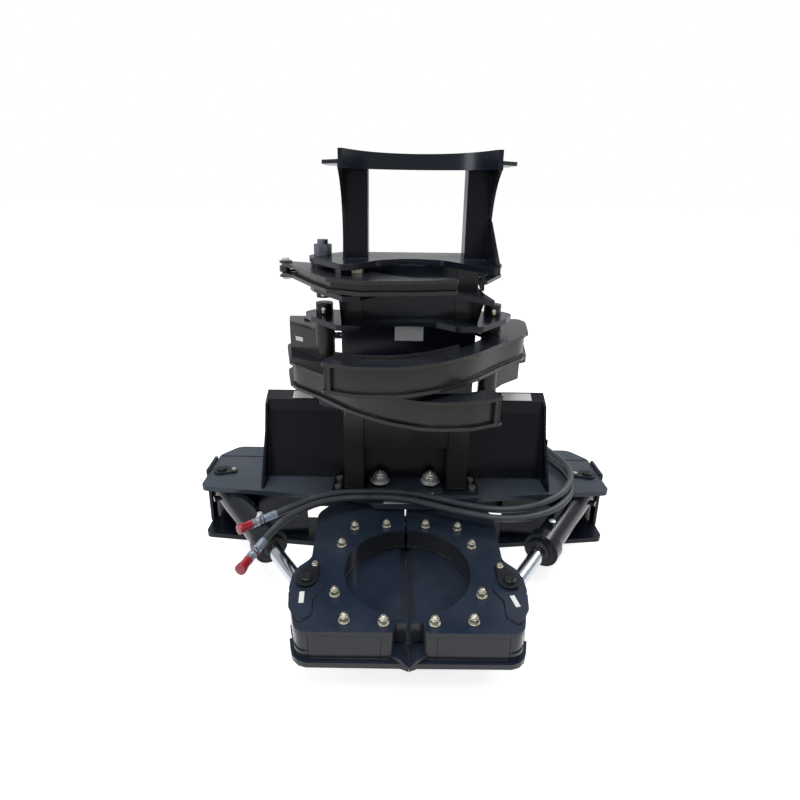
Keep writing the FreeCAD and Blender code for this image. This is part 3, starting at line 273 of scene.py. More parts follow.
# %% Plated metals
def plated(name, first, second, third, rough, metallic=0.92):
    metal = Finish(name)
    soft = metal.soft_edges(0.0009)
    drift = metal.noise(scale=70.0, detail=2.0)
    spot = metal.noise(scale=420.0)
    tone = metal.blend(drift.band(0.35, 0.6), first, second)
    tone = metal.blend((drift.band(0.55, 0.75) * 0.6).clamped(), tone, third)
    # Painted highlight: the metal is lighter along its sharp edges.
    painted_edge_glint = [min(1.0, 1.25 * part) for part in first]
    tone = metal.blend((metal.edge_share(soft) * 0.4).clamped(), tone, painted_edge_glint)
    metal.feed("Base Color", tone)
    metal.set(Metallic=metallic)
    metal.feed("Roughness", (rough + spot * 0.18).clamped())
    metal.bump(spot, 0.12, 0.0003, soft)
    return metal.material


YELLOW_ZINC = plated("yellow_zinc", (0.50, 0.47, 0.36), (0.60, 0.58, 0.50), (0.38, 0.36, 0.29), 0.24)
PLAIN_ZINC = plated("plain_zinc", (0.62, 0.64, 0.66), (0.70, 0.71, 0.72), (0.50, 0.52, 0.55), 0.24)
# The pivot nuts' zinc is a lighter, less metallic copy of plain zinc: painted sunlight on them.
SUNLIT_ZINC = plated("zinc_with_painted_sun", (0.72, 0.72, 0.70), (0.82, 0.82, 0.79), (0.52, 0.54, 0.56), 0.26, 0.70)
COUPLER_ZINC = plated("coupler_zinc", (0.22, 0.27, 0.34), (0.36, 0.41, 0.48), (0.15, 0.19, 0.27), 0.24)
DARK_ZINC = plated("dark_zinc", (0.09, 0.10, 0.12), (0.15, 0.16, 0.18), (0.07, 0.08, 0.10), 0.30)
BRASS = plated("nipple_brass", (0.62, 0.50, 0.26), (0.66, 0.56, 0.34), (0.50, 0.42, 0.26), 0.28)
print("metals ready")

# %% [markdown]
# ## Rubber, plastic and blank labels
# The hoses have a matt black cover with the faint wrap pattern that curing tape leaves. The dust caps are
# glossy red vinyl. Where the real tool wears printed labels, this one has plain blank ones.

# %% Soft finishes
HOSE_DUST = (0.10, 0.10, 0.10)


def rubber(name, colour, rough):
    cover = Finish(name)
    weave = cover.noise(scale=260.0, detail=2.0)
    dust = cover.noise(scale=14.0, detail=4.0)
    lying = cover.upward() * dust.band(0.4, 0.75) * 0.6
    cover.feed("Base Color", cover.blend(lying.clamped(), colour, HOSE_DUST))
    cover.feed("Roughness", (rough + dust * 0.14).clamped())
    cover.bump(weave, 0.25, 0.0005)
    cover.set(Specular_IOR_Level=0.45)
    return cover.material


def vinyl(name, colour, rough, mottled=0.25):
    skin = Finish(name)
    patch = skin.noise(scale=24.0)
    tone = skin.blend((patch.band(0.3, 0.8) * mottled).clamped(), colour, [0.62 * part for part in colour])
    skin.feed("Base Color", tone)
    skin.feed("Roughness", (rough + patch * 0.15).clamped())
    skin.bump(skin.noise(scale=140.0, detail=2.0), 0.08, 0.0004, skin.soft_edges(0.0008))
    skin.set(Coat_Weight=0.2, Coat_Roughness=0.12)
    return skin.material


HOSE_RUBBER = rubber("hose_rubber", (0.040, 0.046, 0.055), 0.36)
SEAL_RUBBER = rubber("seal_rubber", (0.015, 0.015, 0.016), 0.5)
RED_VINYL = vinyl("red_cap", (0.33, 0.012, 0.026), 0.28)
BLACK_NYLON = vinyl("black_nylon", (0.016, 0.016, 0.017), 0.38)
BLANK_WHITE = vinyl("blank_label", (0.74, 0.74, 0.72), 0.34, 0.12)
print("soft finishes ready")

# %% [markdown]
# ## Paint the solids
# Each solid takes the finish that its name calls for: the first word of the list that the name holds
# decides, and a solid with none of them is plain painted plate. Its mesh and place stay as they came.

# %% Finish for each solid
FINISH_WORDS = (("barrel", BARREL_PAINT), ("cap", RED_VINYL), ("coupler", COUPLER_ZINC),
                ("hose_bulkhead", PLATE_PAINT), ("hose_tie", BLACK_NYLON), ("hose", HOSE_RUBBER),
                ("pivot_nuts", PLAIN_ZINC), ("upper_pin", DARK_ZINC), ("nuts", YELLOW_ZINC),
                ("bolts", YELLOW_ZINC), ("pin", PIN_PAINT), ("arm", ARM_PAINT), ("jaw", JAW_PAINT),
                ("frame_top_plate", DECK_PAINT), ("upright", MAST_PAINT),
                ("mast_front_plate_lower", MAST_PAINT), ("attach_plate", PANEL_PAINT),
                ("top_side_plate", PANEL_PAINT))


def finish_for(name):
    if name in ROD_EYES:
        return chrome("chrome_" + name, *ROD_EYES[name])
    for word, finish in FINISH_WORDS:
        if word in name:
            return finish
    return PLATE_PAINT


for name, solid in NODES.items():
    solid.data.materials.clear()
    solid.data.materials.append(finish_for(name))
print("painted", len(NODES), "solids")


# %% [markdown]
# ## Helpers for modelling by hand
# An operator works on everything that is selected, so each step first selects only its own piece. A
# finished piece has its place in its mesh, so it can ride on a moving body of the tool without sliding.

# %% Select, settle and clean a piece
def alone(*pieces):
    bpy.ops.object.select_all(action="DESELECT")
    for piece in pieces:
        piece.select_set(True)
    bpy.context.view_layer.objects.active = pieces[0]


def settled(piece):
    alone(piece)
    bpy.ops.object.transform_apply(location=True, rotation=True, scale=True)
    return piece


def outward(piece):
    """Merges points that lie on each other and turns every face outwards."""
    alone(piece)
    bpy.ops.object.mode_set(mode="EDIT")
    bpy.ops.mesh.select_all(action="SELECT")
    bpy.ops.mesh.remove_doubles(threshold=1e-6)
    bpy.ops.mesh.normals_make_consistent(inside=False)
    bpy.ops.object.mode_set(mode="OBJECT")
    return piece


# %% [markdown]
# ## A lathe in two operators
# Nuts, glands, couplers and nipples are all turned. A turned part starts as one flat disc. Its top face is
# extruded upwards and scaled, step by step, which gives clean rings and a closed shape. A spun profile
# would give the same, but its axis has to be closed by hand. With six sides instead of forty the same steps
# give a hexagon.

# %% Turn a piece on the lathe
def turned(name, stations, sides=32):
    """A closed turned piece on the Z axis. Each station is a height and a radius, in metres."""
    bpy.ops.object.select_all(action="DESELECT")
    height, radius = stations[0]
    bpy.ops.mesh.primitive_circle_add(vertices=sides, radius=radius, fill_type="NGON",
                                      location=(0, 0, height))
    piece = bpy.context.object
    piece.name = name
    bpy.ops.object.mode_set(mode="EDIT")
    for next_height, next_radius in stations[1:]:
        bpy.ops.mesh.extrude_region_move(TRANSFORM_OT_translate={"value": (0, 0, next_height - height)})
        share = next_radius / radius
        bpy.ops.transform.resize(value=(share, share, 1.0), center_override=(0, 0, next_height))
        height, radius = next_height, next_radius
    bpy.ops.object.mode_set(mode="OBJECT")
    return outward(settled(piece))


# %% Place, copy, join and smooth pieces
def aimed(piece, at, direction=(0, 0, 1), turn=0.0):
    """Moves a piece made on the Z axis to a place, with its axis along a direction."""
    spin = Matrix.Rotation(turn, 4, "Z")
    aim = Vector(direction).to_track_quat("Z", "Y").to_matrix().to_4x4()
    piece.matrix_world = Matrix.Translation(Vector(at)) @ aim @ spin
    return settled(piece)


def copied(piece, at, direction=(0, 0, 1), turn=0.0):
    twin = piece.copy()
    twin.data = piece.data.copy()
    bpy.context.scene.collection.objects.link(twin)
    return aimed(twin, at, direction, turn)


def joined(name, pieces):
    alone(*pieces)
    if len(pieces) > 1:
        bpy.ops.object.join()
    whole = bpy.context.view_layer.objects.active
    whole.name = name
    return whole


def smooth(piece):
    alone(piece)
    bpy.ops.object.shade_smooth_by_angle(angle=math.radians(35.0))
    return piece


# %% Give a piece its finish and its body
def dressed(piece, finish, body):
    piece.data.materials.clear()
    piece.data.materials.append(finish)
    if piece.type == "MESH":
        smooth(piece)
    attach(piece, body)
    return piece


# %% [markdown]
# ## Hoses
# Two free hoses start at fittings behind the right end of the panel, lie over the wing in one easy bend,
# cross in front of the mast and hang out over the left cylinder. A hose this thick bends only in wide
# curves, so a few given points on one smooth spline are enough.

# %% Routes of the two hoses
HOSE_R = 12.5 * MM
HOSE_Z = 253.5
UPPER_ROUTE = [(622, 128, 290), (634, 92, 288), (668, 30, 284), (690, -55, 281), (670, -150, 280),
               (610, -240, 279), (530, -302, 275), (440, -336, 269), (340, -342, 263), (240, -312, 259),
               (150, -275, 258), (50, -232, HOSE_Z + 4), (-60, -217, HOSE_Z + 3), (-160, -224, HOSE_Z + 6),
               (-255, -246, HOSE_Z + 15), (-335, -294, HOSE_Z + 24), (-400, -352, HOSE_Z + 30),
               (-462, -418, HOSE_Z + 36)]
LOWER_ROUTE = [(622, 128, 259), (632, 90, 257), (660, 22, HOSE_Z + 1), (686, -70, HOSE_Z),
               (672, -170, HOSE_Z), (612, -268, HOSE_Z), (530, -338, HOSE_Z + 1), (435, -378, HOSE_Z + 2),
               (340, -384, HOSE_Z + 2), (245, -362, HOSE_Z + 2), (150, -326, HOSE_Z + 2),
               (70, -292, HOSE_Z + 3), (0, -267, HOSE_Z + 4), (-95, -257, HOSE_Z + 4),
               (-190, -267, HOSE_Z + 8), (-278, -298, HOSE_Z + 18), (-350, -348, HOSE_Z + 26),
               (-410, -420, HOSE_Z + 32), (-448, -496, HOSE_Z + 36), (-468, -572, HOSE_Z + 38)]


def points_of(route):
    return [Vector(point) * MM for point in route]


# %% A round hose along a route
def hose_curve(name, route):
    bpy.ops.object.select_all(action="DESELECT")
    bpy.ops.curve.primitive_nurbs_path_add(location=(0, 0, 0))
    curve = bpy.context.object
    curve.name = name
    spline = curve.data.splines[0]
    points = points_of(route)
    spline.points.add(len(points) - len(spline.points))
    for knot, point in zip(spline.points, points):
        knot.co = (*point, 1.0)
    spline.order_u = 3
    spline.use_endpoint_u = True
    spline.resolution_u = 10
    curve.data.dimensions = "3D"
    curve.data.use_path = False
    curve.data.bevel_depth = HOSE_R
    curve.data.bevel_resolution = 6
    curve.data.use_fill_caps = True
    curve.data.materials.append(HOSE_RUBBER)
    return curve


# %% [markdown]
# ## Couplers and dust caps
# Each hose ends in a crimped sleeve with pressed ribs, a hexagon, a thin neck, the coupler's knurled ring
# and its nose, and over the nose a red vinyl cap with a grip rim. All of them are turned shapes on one
# line, the hose's own end direction.

# %% Coupler on a hose end
RIB_PITCH = 0.0070
KNURL_PITCH = 0.0026


def coupler_on(name, route):
    points = points_of(route)
    tip = points[-1]
    along = (points[-1] - points[-2]).normalized()
    ribs = []
    for number in range(6):
        start = 0.004 + number * RIB_PITCH
        ribs += [(start, 0.0140), (start + 0.0012, 0.0128), (start + 0.0036, 0.0128)]
        ribs += [(start + 0.0048, 0.0140)]
    sleeve_end = [(0.047, 0.0138), (0.049, 0.0112)]
    sleeve = turned(name, [(0.0, 0.0130), (0.001, 0.0140)] + ribs + sleeve_end, 40)
    grip = turned("hexagon", [(0.048, 0.0128), (0.050, 0.0146), (0.060, 0.0146), (0.062, 0.0128)], 6)
    neck = turned("neck", [(0.061, 0.0104), (0.071, 0.0104)], 32)
    knurls = [(0.070, 0.0122), (0.071, 0.0148)]
    for number in range(5):
        start = 0.0735 + number * KNURL_PITCH
        knurls += [(start, 0.0150), (start + 0.0008, 0.0142), (start + 0.0016, 0.0142)]
    ring = turned("ring", knurls + [(0.089, 0.0150), (0.090, 0.0130)], 40)
    nose = turned("nose", [(0.088, 0.0118), (0.110, 0.0118), (0.122, 0.0108)], 40)
    whole = joined(name, [sleeve, grip, neck, ring, nose])
    return aimed(whole, tip, along)


# %% Cap over the coupler's nose
CAP_FROM_TIP = 0.098


def cap_on(name, route):
    points = points_of(route)
    along = (points[-1] - points[-2]).normalized()
    start = points[-1] + along * CAP_FROM_TIP
    body = turned(name, [(0.0, 0.0130), (0.0, 0.0152), (0.004, 0.0154), (0.005, 0.0142), (0.026, 0.0150),
                         (0.033, 0.0170), (0.045, 0.0184), (0.0490, 0.0174), (0.0502, 0.0112)], 40)
    return aimed(body, start, along)


# %% Put both hoses on the tool
def dress_hose(which, route):
    curve = hose_curve("free_hose_" + which, route)
    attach(curve, "frame")
    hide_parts("hose_" + which)
    coupler = dressed(coupler_on("hose_end_" + which, route), COUPLER_ZINC, "frame")
    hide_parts("coupler_" + which)
    cap = dressed(cap_on("dust_cap_" + which, route), RED_VINYL, "frame")
    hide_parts("cap_" + which)
    print("hose", which, "has", len(route), "route points")


dress_hose("upper", UPPER_ROUTE)
dress_hose("lower", LOWER_ROUTE)

# %% [markdown]
# ## Weld beads
# The tool is welded from flame-cut plate, and a fillet runs along nearly every seam. A bead is a smooth
# spline with a round section, laid along the line where two plates meet. Its thickness wavers a little, as
# it does by hand. A bump on the paint would cost less, but it vanishes from the side, where beads show
# most.

# %% One run of bead
SIDES = ((-1, "left"), (1, "right"))


def spread(points, step=22.0):
    """More points along each straight run, so that the smooth curve keeps to it."""
    corners = [Vector(point) for point in points]
    whole = sum((end - start).length for start, end in zip(corners, corners[1:]))
    step = min(step, whole / 6)
    dense = [corners[0]]
    for start, end in zip(corners, corners[1:]):
        parts = max(1, math.ceil((end - start).length / step))
        dense += [start.lerp(end, number / parts) for number in range(1, parts + 1)]
    return dense


def strand(points, radius, waver=0.0):
    bpy.ops.object.select_all(action="DESELECT")
    bpy.ops.curve.primitive_nurbs_path_add(location=(0, 0, 0))
    run = bpy.context.object
    spline = run.data.splines[0]
    dense = spread(points)
    spline.points.add(len(dense) - len(spline.points))
    for number, knot in enumerate(spline.points):
        knot.co = (*(dense[number] * MM), 1.0)
        knot.radius = radius * (1.0 + waver * math.sin(1.9 * number))
    spline.order_u = 3
    spline.use_endpoint_u = True
    spline.resolution_u = 3
    run.data.dimensions = "3D"
    run.data.use_path = False
    run.data.bevel_depth = MM
    run.data.bevel_resolution = 2
    run.data.use_fill_caps = True
    return run


# %% Runs of bead on a body
BEAD_WAVER = 0.12


def level(points, height):
    return [(x, y, height) for x, y in points]


def swapped(points, side):
    """A left run for side -1, its mirror image for side 1."""
    return [(-side * x, y, z) for x, y, z in points]


def welds(name, runs, body, radius, place=None):
    whole = joined(name, [strand(run, radius, BEAD_WAVER) for run in runs])
    if place:
        whole.matrix_world = place
        settled(whole)
    return dressed(whole, WELD_PAINT, body)


# %% [markdown]
# ## Ribbons and flat plates
# Some walls of the real tool are rolled smooth, where the solids have flat steps. A ribbon is a line in
# plan that is drawn upwards. The same line, closed and filled, is a flame-cut plate. Both start as a flat
# curve and are made a mesh before they are put in place.

# %% Draw a line upwards
def raised(line, name, low, high, fill):
    line.name = name
    line.data.dimensions = "2D"
    line.data.fill_mode = fill
    line.data.bevel_depth = 0.0
    line.data.extrude = (high - low) / 2 * MM
    alone(line)
    bpy.ops.object.convert(target="MESH")
    line = bpy.context.object
    line.location.z = (low + high) / 2 * MM
    return settled(line)


def ribbon(name, points, low, high):
    return raised(strand(level(points, 0.0), 1.0), name, low, high, "NONE")


def polygon(points):
    bpy.ops.object.select_all(action="DESELECT")
    bpy.ops.curve.primitive_nurbs_circle_add(location=(0, 0, 0))
    ring = bpy.context.object
    spline = ring.data.splines[0]
    spline.points.add(max(0, len(points) - len(spline.points)))
    spline.type = "POLY"
    for number, knot in enumerate(spline.points):
        knot.co = (*(Vector(points[min(number, len(points) - 1)]) * MM), 0.0, 1.0)
    return ring


def flat_plate(name, points, low, high):
    return raised(polygon(points), name, low, high, "BOTH")


# %% [markdown]
# ## Seams, fronts and lips of the jaws
# A jaw is a flat box. Its front wall stands on a lip, the top plate has a thicker piece welded round the
# cylinder's pin, and short upright seams show where the wall's pieces meet. Both jaws are one set of lines
# in plan, drawn for the left jaw and mirrored for the right one.

# %% Lines of the left jaw
JAW_EDGE = [(-41.7, -800), (-41.7, -846), (-45.5, -856), (-56, -860.3), (-281, -860.3), (-304, -855),
            (-320, -844), (-331, -828), (-351, -760), (-356, -742)]
JAW_LIP = [(-0.5, -884), (-24, -874), (-292, -873), (-314, -866), (-332, -850), (-341, -830), (-352, -790),
           (-340, -786), (-322, -840), (-292, -850), (-0.5, -850)]
DOUBLER = [(-318, -560), (-299, -572), (-284, -588), (-286, -636), (-276, -664), (-263, -690), (-276, -716),
           (-288, -742), (-283, -792), (-291, -812), (-317, -826), (-338, -794), (-353, -768), (-362, -712)]
JAW_FRONT = -860.2
JAW_LIP_LOW, JAW_LIP_HIGH = 97.0, 115.0
JAW_WALL_LOW, JAW_WALL_HIGH = 113.0, 196.5

# %% Dress both jaws
for side, which in SIDES:
    jaw = which + "_jaw"
    seams = [swapped(level(JAW_EDGE, 116.5), side), swapped(level(DOUBLER, 212.8), side)]
    welds(jaw + "_welds", seams, jaw, 2.8)
    upright_seams = [swapped([(x, JAW_FRONT, 118), (x, JAW_FRONT, 195)], side) for x in (-286, -80)]
    welds(jaw + "_wall_seams", upright_seams, jaw, 1.3)
    edge = [(-side * x, y) for x, y in JAW_EDGE]
    dressed(ribbon(jaw + "_front", edge, JAW_WALL_LOW, JAW_WALL_HIGH), JAW_PAINT, jaw)
    lip = [(-side * x, y) for x, y in JAW_LIP]
    dressed(flat_plate(jaw + "_lip", lip, JAW_LIP_LOW, JAW_LIP_HIGH), JAW_PAINT, jaw)
print("jaw seams laid")


# %% [markdown]
# ## Smooth webs and seams of the grapple arms
# Each big arm is a box: two flame-cut flanges with a rolled web between them, set back a little from their
# edge. The edge's corners are known, so the web's line is that path moved inwards, and a smooth curve is
# led through its corners. The right arm is the left one turned over about the middle height and opened by
# four degrees.

# %% Move a path inwards, and smooth it
def inset(points, distance):
    """An open path moved to its left, with mitred corners."""
    flat = [Vector((x, y)) for x, y in points]
    ways = [(end - start).normalized() for start, end in zip(flat, flat[1:])]
    moved = []
    for number, point in enumerate(flat):
        before = ways[max(0, number - 1)]
        after = ways[min(number, len(ways) - 1)]
        middle = Vector((-before.y - after.y, before.x + after.x)).normalized()
        moved.append(tuple(point + middle * (distance / middle.dot(Vector((-after.y, after.x))))))
    return moved


def through(points, parts=6):
    """Points on a smooth curve that passes through every given point."""
    known = [Vector(point) for point in points]
    known = [known[0] * 2 - known[1]] + known + [known[-1] * 2 - known[-2]]
    curve = []
    for first, start, end, last in zip(known, known[1:], known[2:], known[3:]):
        for number in range(parts):
            t = number / parts
            curve.append(0.5 * (start * 2 + (end - first) * t
                                + (first * 2 - start * 5 + end * 4 - last) * t * t
                                + (start * 3 - first - end * 3 + last) * t * t * t))
    return [tuple(point) for point in curve + [known[-2]]]


# %% Web, ring beads and the right arm's place
PIVOT = Vector((310, -100, 0)) * MM
TURNED_OVER_AT = 770.5
RIGHT_ARM_OPEN = 4.0


def web_skin(name, path, low, high, body, place):
    """The painted front of a rolled web, just in front of the flat steps of the solid."""
    skin = ribbon(name, path, low, high)
    skin.matrix_world = place
    return dressed(settled(skin), ARM_PAINT, body)


def ring_bead(at, along, reach, thick, parts):
    """A bead round a hub or a barrel, in metres."""
    bpy.ops.object.select_all(action="DESELECT")
    bpy.ops.mesh.primitive_torus_add(major_radius=reach, minor_radius=thick, major_segments=parts,
                                     minor_segments=8)
    return aimed(bpy.context.object, at, along)


def hub_ring(height):
    return ring_bead(Vector((-310, -100, height)) * MM, (0, 0, 1), 37 * MM, 2.8 * MM, 40)


def right_arm_place():
    over = Matrix.Translation((0, 0, 2 * TURNED_OVER_AT * MM)) @ Matrix.Rotation(math.pi, 4, "Y")
    opened = Matrix.Rotation(math.radians(RIGHT_ARM_OPEN), 4, "Z")
    return Matrix.Translation(PIVOT) @ opened @ Matrix.Translation(-PIVOT) @ over


# %% Dress the three arms
ARM_EDGE = [(-470, -12), (-446, -125), (-415, -166), (-322, -250), (-215, -361), (-144, -417), (-66, -466),
            (39, -506), (91, -511), (197, -502), (292, -460)]
UPPER_EDGE = [(-424, -92), (-330, -262), (-268, -362), (-155, -410), (10, -397), (144, -369)]

inner_edge = through(inset(ARM_EDGE, 12.4))
web_edge = through(inset(ARM_EDGE[1:], 13.9))
arm_seams = [level(inner_edge, 673.4), level(inner_edge, 746.6), [(288, -459, 674), (288, -459, 746)]]
for which, place in (("left", Matrix()), ("right", right_arm_place())):
    arm = which + "_arm"
    welds(arm + "_welds", arm_seams, arm, 1.9, place)
    web_skin(arm + "_web_skin", web_edge, 671.5, 748.5, arm, place)
    rings = joined(which + "_hub_welds", [hub_ring(777.3), hub_ring(659.0)])
    rings.matrix_world = place
    dressed(settled(rings), WELD_PAINT, arm)

upper_seam = inset(UPPER_EDGE, 14.8)
welds("upper_arm_welds", [level(upper_seam, 1081.2), level(upper_seam, 1102.8)], "upper_arm", 1.4)
print("arm seams laid")


# %% [markdown]
# ## Walls and sharp edges
# Flat walls close the mast between its uprights and the frame between its two plates. Each blade has an
# edge strip along the middle of the tool, painted like the jaw, and the jaws' rear ends have one too. All of
# them are plates with a small chamfer, so a cube is stretched between two corners and its edges are
# bevelled.

# %% A plate between two corners
def bar(name, corner, far_corner, finish, body):
    bpy.ops.object.select_all(action="DESELECT")
    bpy.ops.mesh.primitive_cube_add(size=1.0)
    piece = bpy.context.object
    piece.name = name
    near, far = Vector(corner) * MM, Vector(far_corner) * MM
    piece.scale = [abs(length) for length in far - near]
    piece.location = (near + far) / 2
    chamfer = 0.1 * min(piece.scale)
    settled(piece)
    bpy.ops.object.mode_set(mode="EDIT")
    bpy.ops.mesh.select_all(action="SELECT")
    bpy.ops.mesh.bevel(offset=chamfer, segments=1, affect="EDGES")
    bpy.ops.object.mode_set(mode="OBJECT")
    return dressed(piece, finish, body)


# %% Walls of the mast and frame, edges of the blades
bar("mast_wall_lower", (-165, -177, 945.3), (165, -170, 1031.7), PLATE_PAINT, "frame")
bar("mast_wall_upper", (-165, -177, 1050.3), (165, -170, 1133.7), PLATE_PAINT, "frame")
for side, which in SIDES:
    jaw = which + "_jaw"
    bar(which + "_blade_edge", (side * 0.06, -883.5, 107), (side * 0.5, -236.5, 109.5), JAW_PAINT, jaw)
    bar(which + "_tail_edge", (side * 0.06, -236.5, 131), (side * 3, -206, 141), JAW_PAINT, jaw)
    bar(which + "_front_wall", (side * 395, -168, 20.2), (side * 591.7, -162, 219.8), PLATE_PAINT, "frame")
print("walls and edges placed")

# %% [markdown]
# ## Seams of the frame and mast
# The uprights are welded to their feet, the cradles to the uprights, and the panel with its gussets to the
# deck. The panel leans, so its seams climb along a sloping line.

# %% Beads of the frame
DECK_SEAM = 241.0
TOP_SEAM = 1154.8
PANEL_TOP = 557.0
PANEL_LEAN = 0.2555
POST_FOOT = [(-240.6, -91), (-240.6, -180.8), (-164.4, -180.8), (-164.4, -91)]
FOOT_PLATE = [(-290.6, -90), (-290.6, -198), (-284, -205.6), (-156, -205.6), (-149.4, -199), (-149.4, -90)]
LEFT_POST = [(-231, -75), (-231, -196.8), (-219.4, -196.8), (-219.4, -181), (-144.4, -181), (-144.4, -91)]
RIGHT_POST = [(184.4, -91), (184.4, -181), (259.4, -181), (259.4, -392.6), (270.6, -392.6), (270.6, -75)]


def panel_front(x, z):
    return (x, (z - PANEL_TOP) * PANEL_LEAN - 1.0, z)


frame_seams = [level(LEFT_POST, TOP_SEAM), level(RIGHT_POST, TOP_SEAM),
               [(-234, -190.6, 923.6), (234, -190.6, 923.6)],
               [panel_front(-562, 241.4), panel_front(562, 241.4)]]
side_seams = [level(POST_FOOT, 252.8), level(FOOT_PLATE, 240.9), [(-164, -172.4, 427), (-164, -172.4, 598)],
              [(-238.6, -184, 618), (-238.6, -184, 922)],
              [panel_front(-563.6, 246), panel_front(-563.6, 505)],
              level([(-563.8, -90), (-563.8, -174)], DECK_SEAM),
              level([(-575.2, -90), (-575.2, -174)], DECK_SEAM),
              level([(-821.2, -57), (-821.2, 57)], DECK_SEAM), level([(-818, 86), (-606, 84)], 240.5)]
for side, which in SIDES:
    frame_seams += [swapped(run, side) for run in side_seams]
welds("frame_welds", frame_seams, "frame", 2.2)
print("frame seams laid:", len(frame_seams))


# %% [markdown]
# ## Bolts and nuts of the jaws
# Each blade hangs on six bolts. From above one sees a washer, a lock nut with its nylon collar and the
# rounded end of the bolt, so the plain solids are replaced by turned ones with those steps. One of each is
# modelled, and the others are copies, each turned a little further, as a wrench leaves them.

# %% A lock nut, a blade bolt and a keeper bolt
JAW_BOLTS = [(-186, -385), (-71, -371), (-224, -484), (-224, -715), (-186, -818), (-73, -824)]
KEEPER = (-300, -598)


def hexagon(name, low, high, flats):
    reach = flats / math.sqrt(3.0) * MM
    low, high = low * MM, high * MM
    blunt = reach * 0.90
    return turned(name, [(low, blunt), (low + 0.0012, reach), (high - 0.0012, reach), (high, blunt)], 6)


def lock_nut():
    washer = turned("washer", [(0.0, 0.0166), (0.0028, 0.0168), (0.0034, 0.0161)], 36)
    grip = hexagon("grip", 3.2, 17.2, 24)
    collar = turned("collar", [(0.0168, 0.0108), (0.0204, 0.0108), (0.0218, 0.0096)], 28)
    return joined("lock_nut", [washer, grip, collar])


def jaw_bolt():
    shank = turned("shank", [(0.1035, 0.0080), (0.2362, 0.0080), (0.2384, 0.0068), (0.2392, 0.0044)], 24)
    return joined("jaw_bolt", [shank, hexagon("head", 91.7, 104.7, 30)])


def keeper_bolt():
    shank = turned("shank", [(0.1980, 0.0050), (0.2260, 0.0050)], 20)
    flange = turned("flange", [(0.2255, 0.0105), (0.2272, 0.0108), (0.2278, 0.0098)], 28)
    return joined("keeper_bolt", [shank, flange, hexagon("head", 227.2, 233.0, 17)])


# %% Bolt both jaws together
nut, bolt, keeper = lock_nut(), jaw_bolt(), keeper_bolt()
for side, which in SIDES:
    jaw = which + "_jaw"
    places = [(-side * x * MM, y * MM) for x, y in JAW_BOLTS]
    nuts = joined(which + "_lock_nuts", [copied(nut, (x, y, 0.2123), turn=0.35 + 0.7 * number)
                                         for number, (x, y) in enumerate(places)])
    dressed(nuts, YELLOW_ZINC, jaw)
    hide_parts(jaw + "_nuts")
    bolts = [copied(bolt, (x, y, 0.0), turn=0.17) for x, y in places]
    bolts.append(copied(keeper, (-side * KEEPER[0] * MM, KEEPER[1] * MM, 0.0)))
    bolts = dressed(joined(which + "_blade_bolts", bolts), YELLOW_ZINC, jaw)
    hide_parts(jaw + "_bolts")
for pattern in (nut, bolt, keeper):
    bpy.data.objects.remove(pattern)
print("bolts per jaw:", len(JAW_BOLTS) + 1)


# %% [markdown]
# ## Pivot nuts and grease nipples
# The two jaw pivots end in wide washers and big lock nuts behind the hoses, each with a grease nipple on
# top. The deep grooves between washer, collar and nut catch shadow, and make the stack read as separate
# parts from far off.

# %% A pivot nut and a nipple
def nipple():
    foot = turned("foot", [(0.0, 0.0058), (0.0045, 0.0058), (0.0052, 0.0050)], 6)
    stem = turned("stem", [(0.0048, 0.0030), (0.0078, 0.0030), (0.0088, 0.0040), (0.0106, 0.0038),
                           (0.0122, 0.0014)], 16)
    return joined("nipple", [foot, stem])


def pivot_nut():
    washer = turned("washer", [(0.0, 0.0376), (0.0010, 0.0390), (0.0042, 0.0390), (0.0052, 0.0376),
                               (0.0056, 0.0240)], 56)
    collar = turned("collar", [(0.0054, 0.0220), (0.0066, 0.0220), (0.0070, 0.0322), (0.0108, 0.0322),
                               (0.0112, 0.0220)], 44)
    grip = turned("grip", [(0.0110, 0.0210), (0.0130, 0.0210), (0.0136, 0.0290), (0.0148, 0.0304),
                           (0.0264, 0.0304), (0.0278, 0.0284), (0.0282, 0.0200)], 6)
    ring = turned("ring", [(0.0280, 0.0190), (0.0292, 0.0190), (0.0296, 0.0232), (0.0336, 0.0232),
                           (0.0342, 0.0220)], 40)
    end = turned("end", [(0.0340, 0.0164), (0.0380, 0.0164), (0.0390, 0.0150)], 32)
    return joined("pivot_nut", [washer, collar, grip, ring, end])


# %% Put them on the pivots and the mast
nut, small = pivot_nut(), nipple()
nuts = [copied(nut, (side * 0.102, -0.130, 0.2543), turn=0.26 * side) for side, which in SIDES]
# The pivot nuts take the zinc with painted sunlight.
nuts = dressed(joined("pivot_lock_nuts", nuts), SUNLIT_ZINC, "frame")
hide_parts("jaw_pivot_nuts")
spots = [((side * 0.102, -0.130, 0.2927), (0, 0, 1)) for side, which in SIDES]
spots += [((side * 0.104, -0.208, 0.2400), (0.25 * side, -0.35, 1)) for side, which in SIDES]
spots += [((side * 0.310, -0.132, 0.9530), (0, -1, 0.2)) for side, which in SIDES]
nipples = joined("grease_nipples", [copied(small, at, way) for at, way in spots])
dressed(nipples, BRASS, "frame")
for pattern in (nut, small):
    bpy.data.objects.remove(pattern)
print("nipples:", len(spots))


# %% [markdown]
# ## Heads of the cylinder pins
# The cylinder pins have a shallow ring turned into their heads, round the thread that pulls them out.

# %% Rings on the four heads
def pin_ring(reach):
    return turned("pin_ring", [(0.0, reach), (0.0012, reach), (0.0020, reach - 0.0012),
                               (0.0020, reach * 0.62), (0.0006, reach * 0.56), (0.0006, reach * 0.40),
                               (0.0016, reach * 0.36), (0.0016, reach * 0.22), (0.0004, reach * 0.18)], 40)


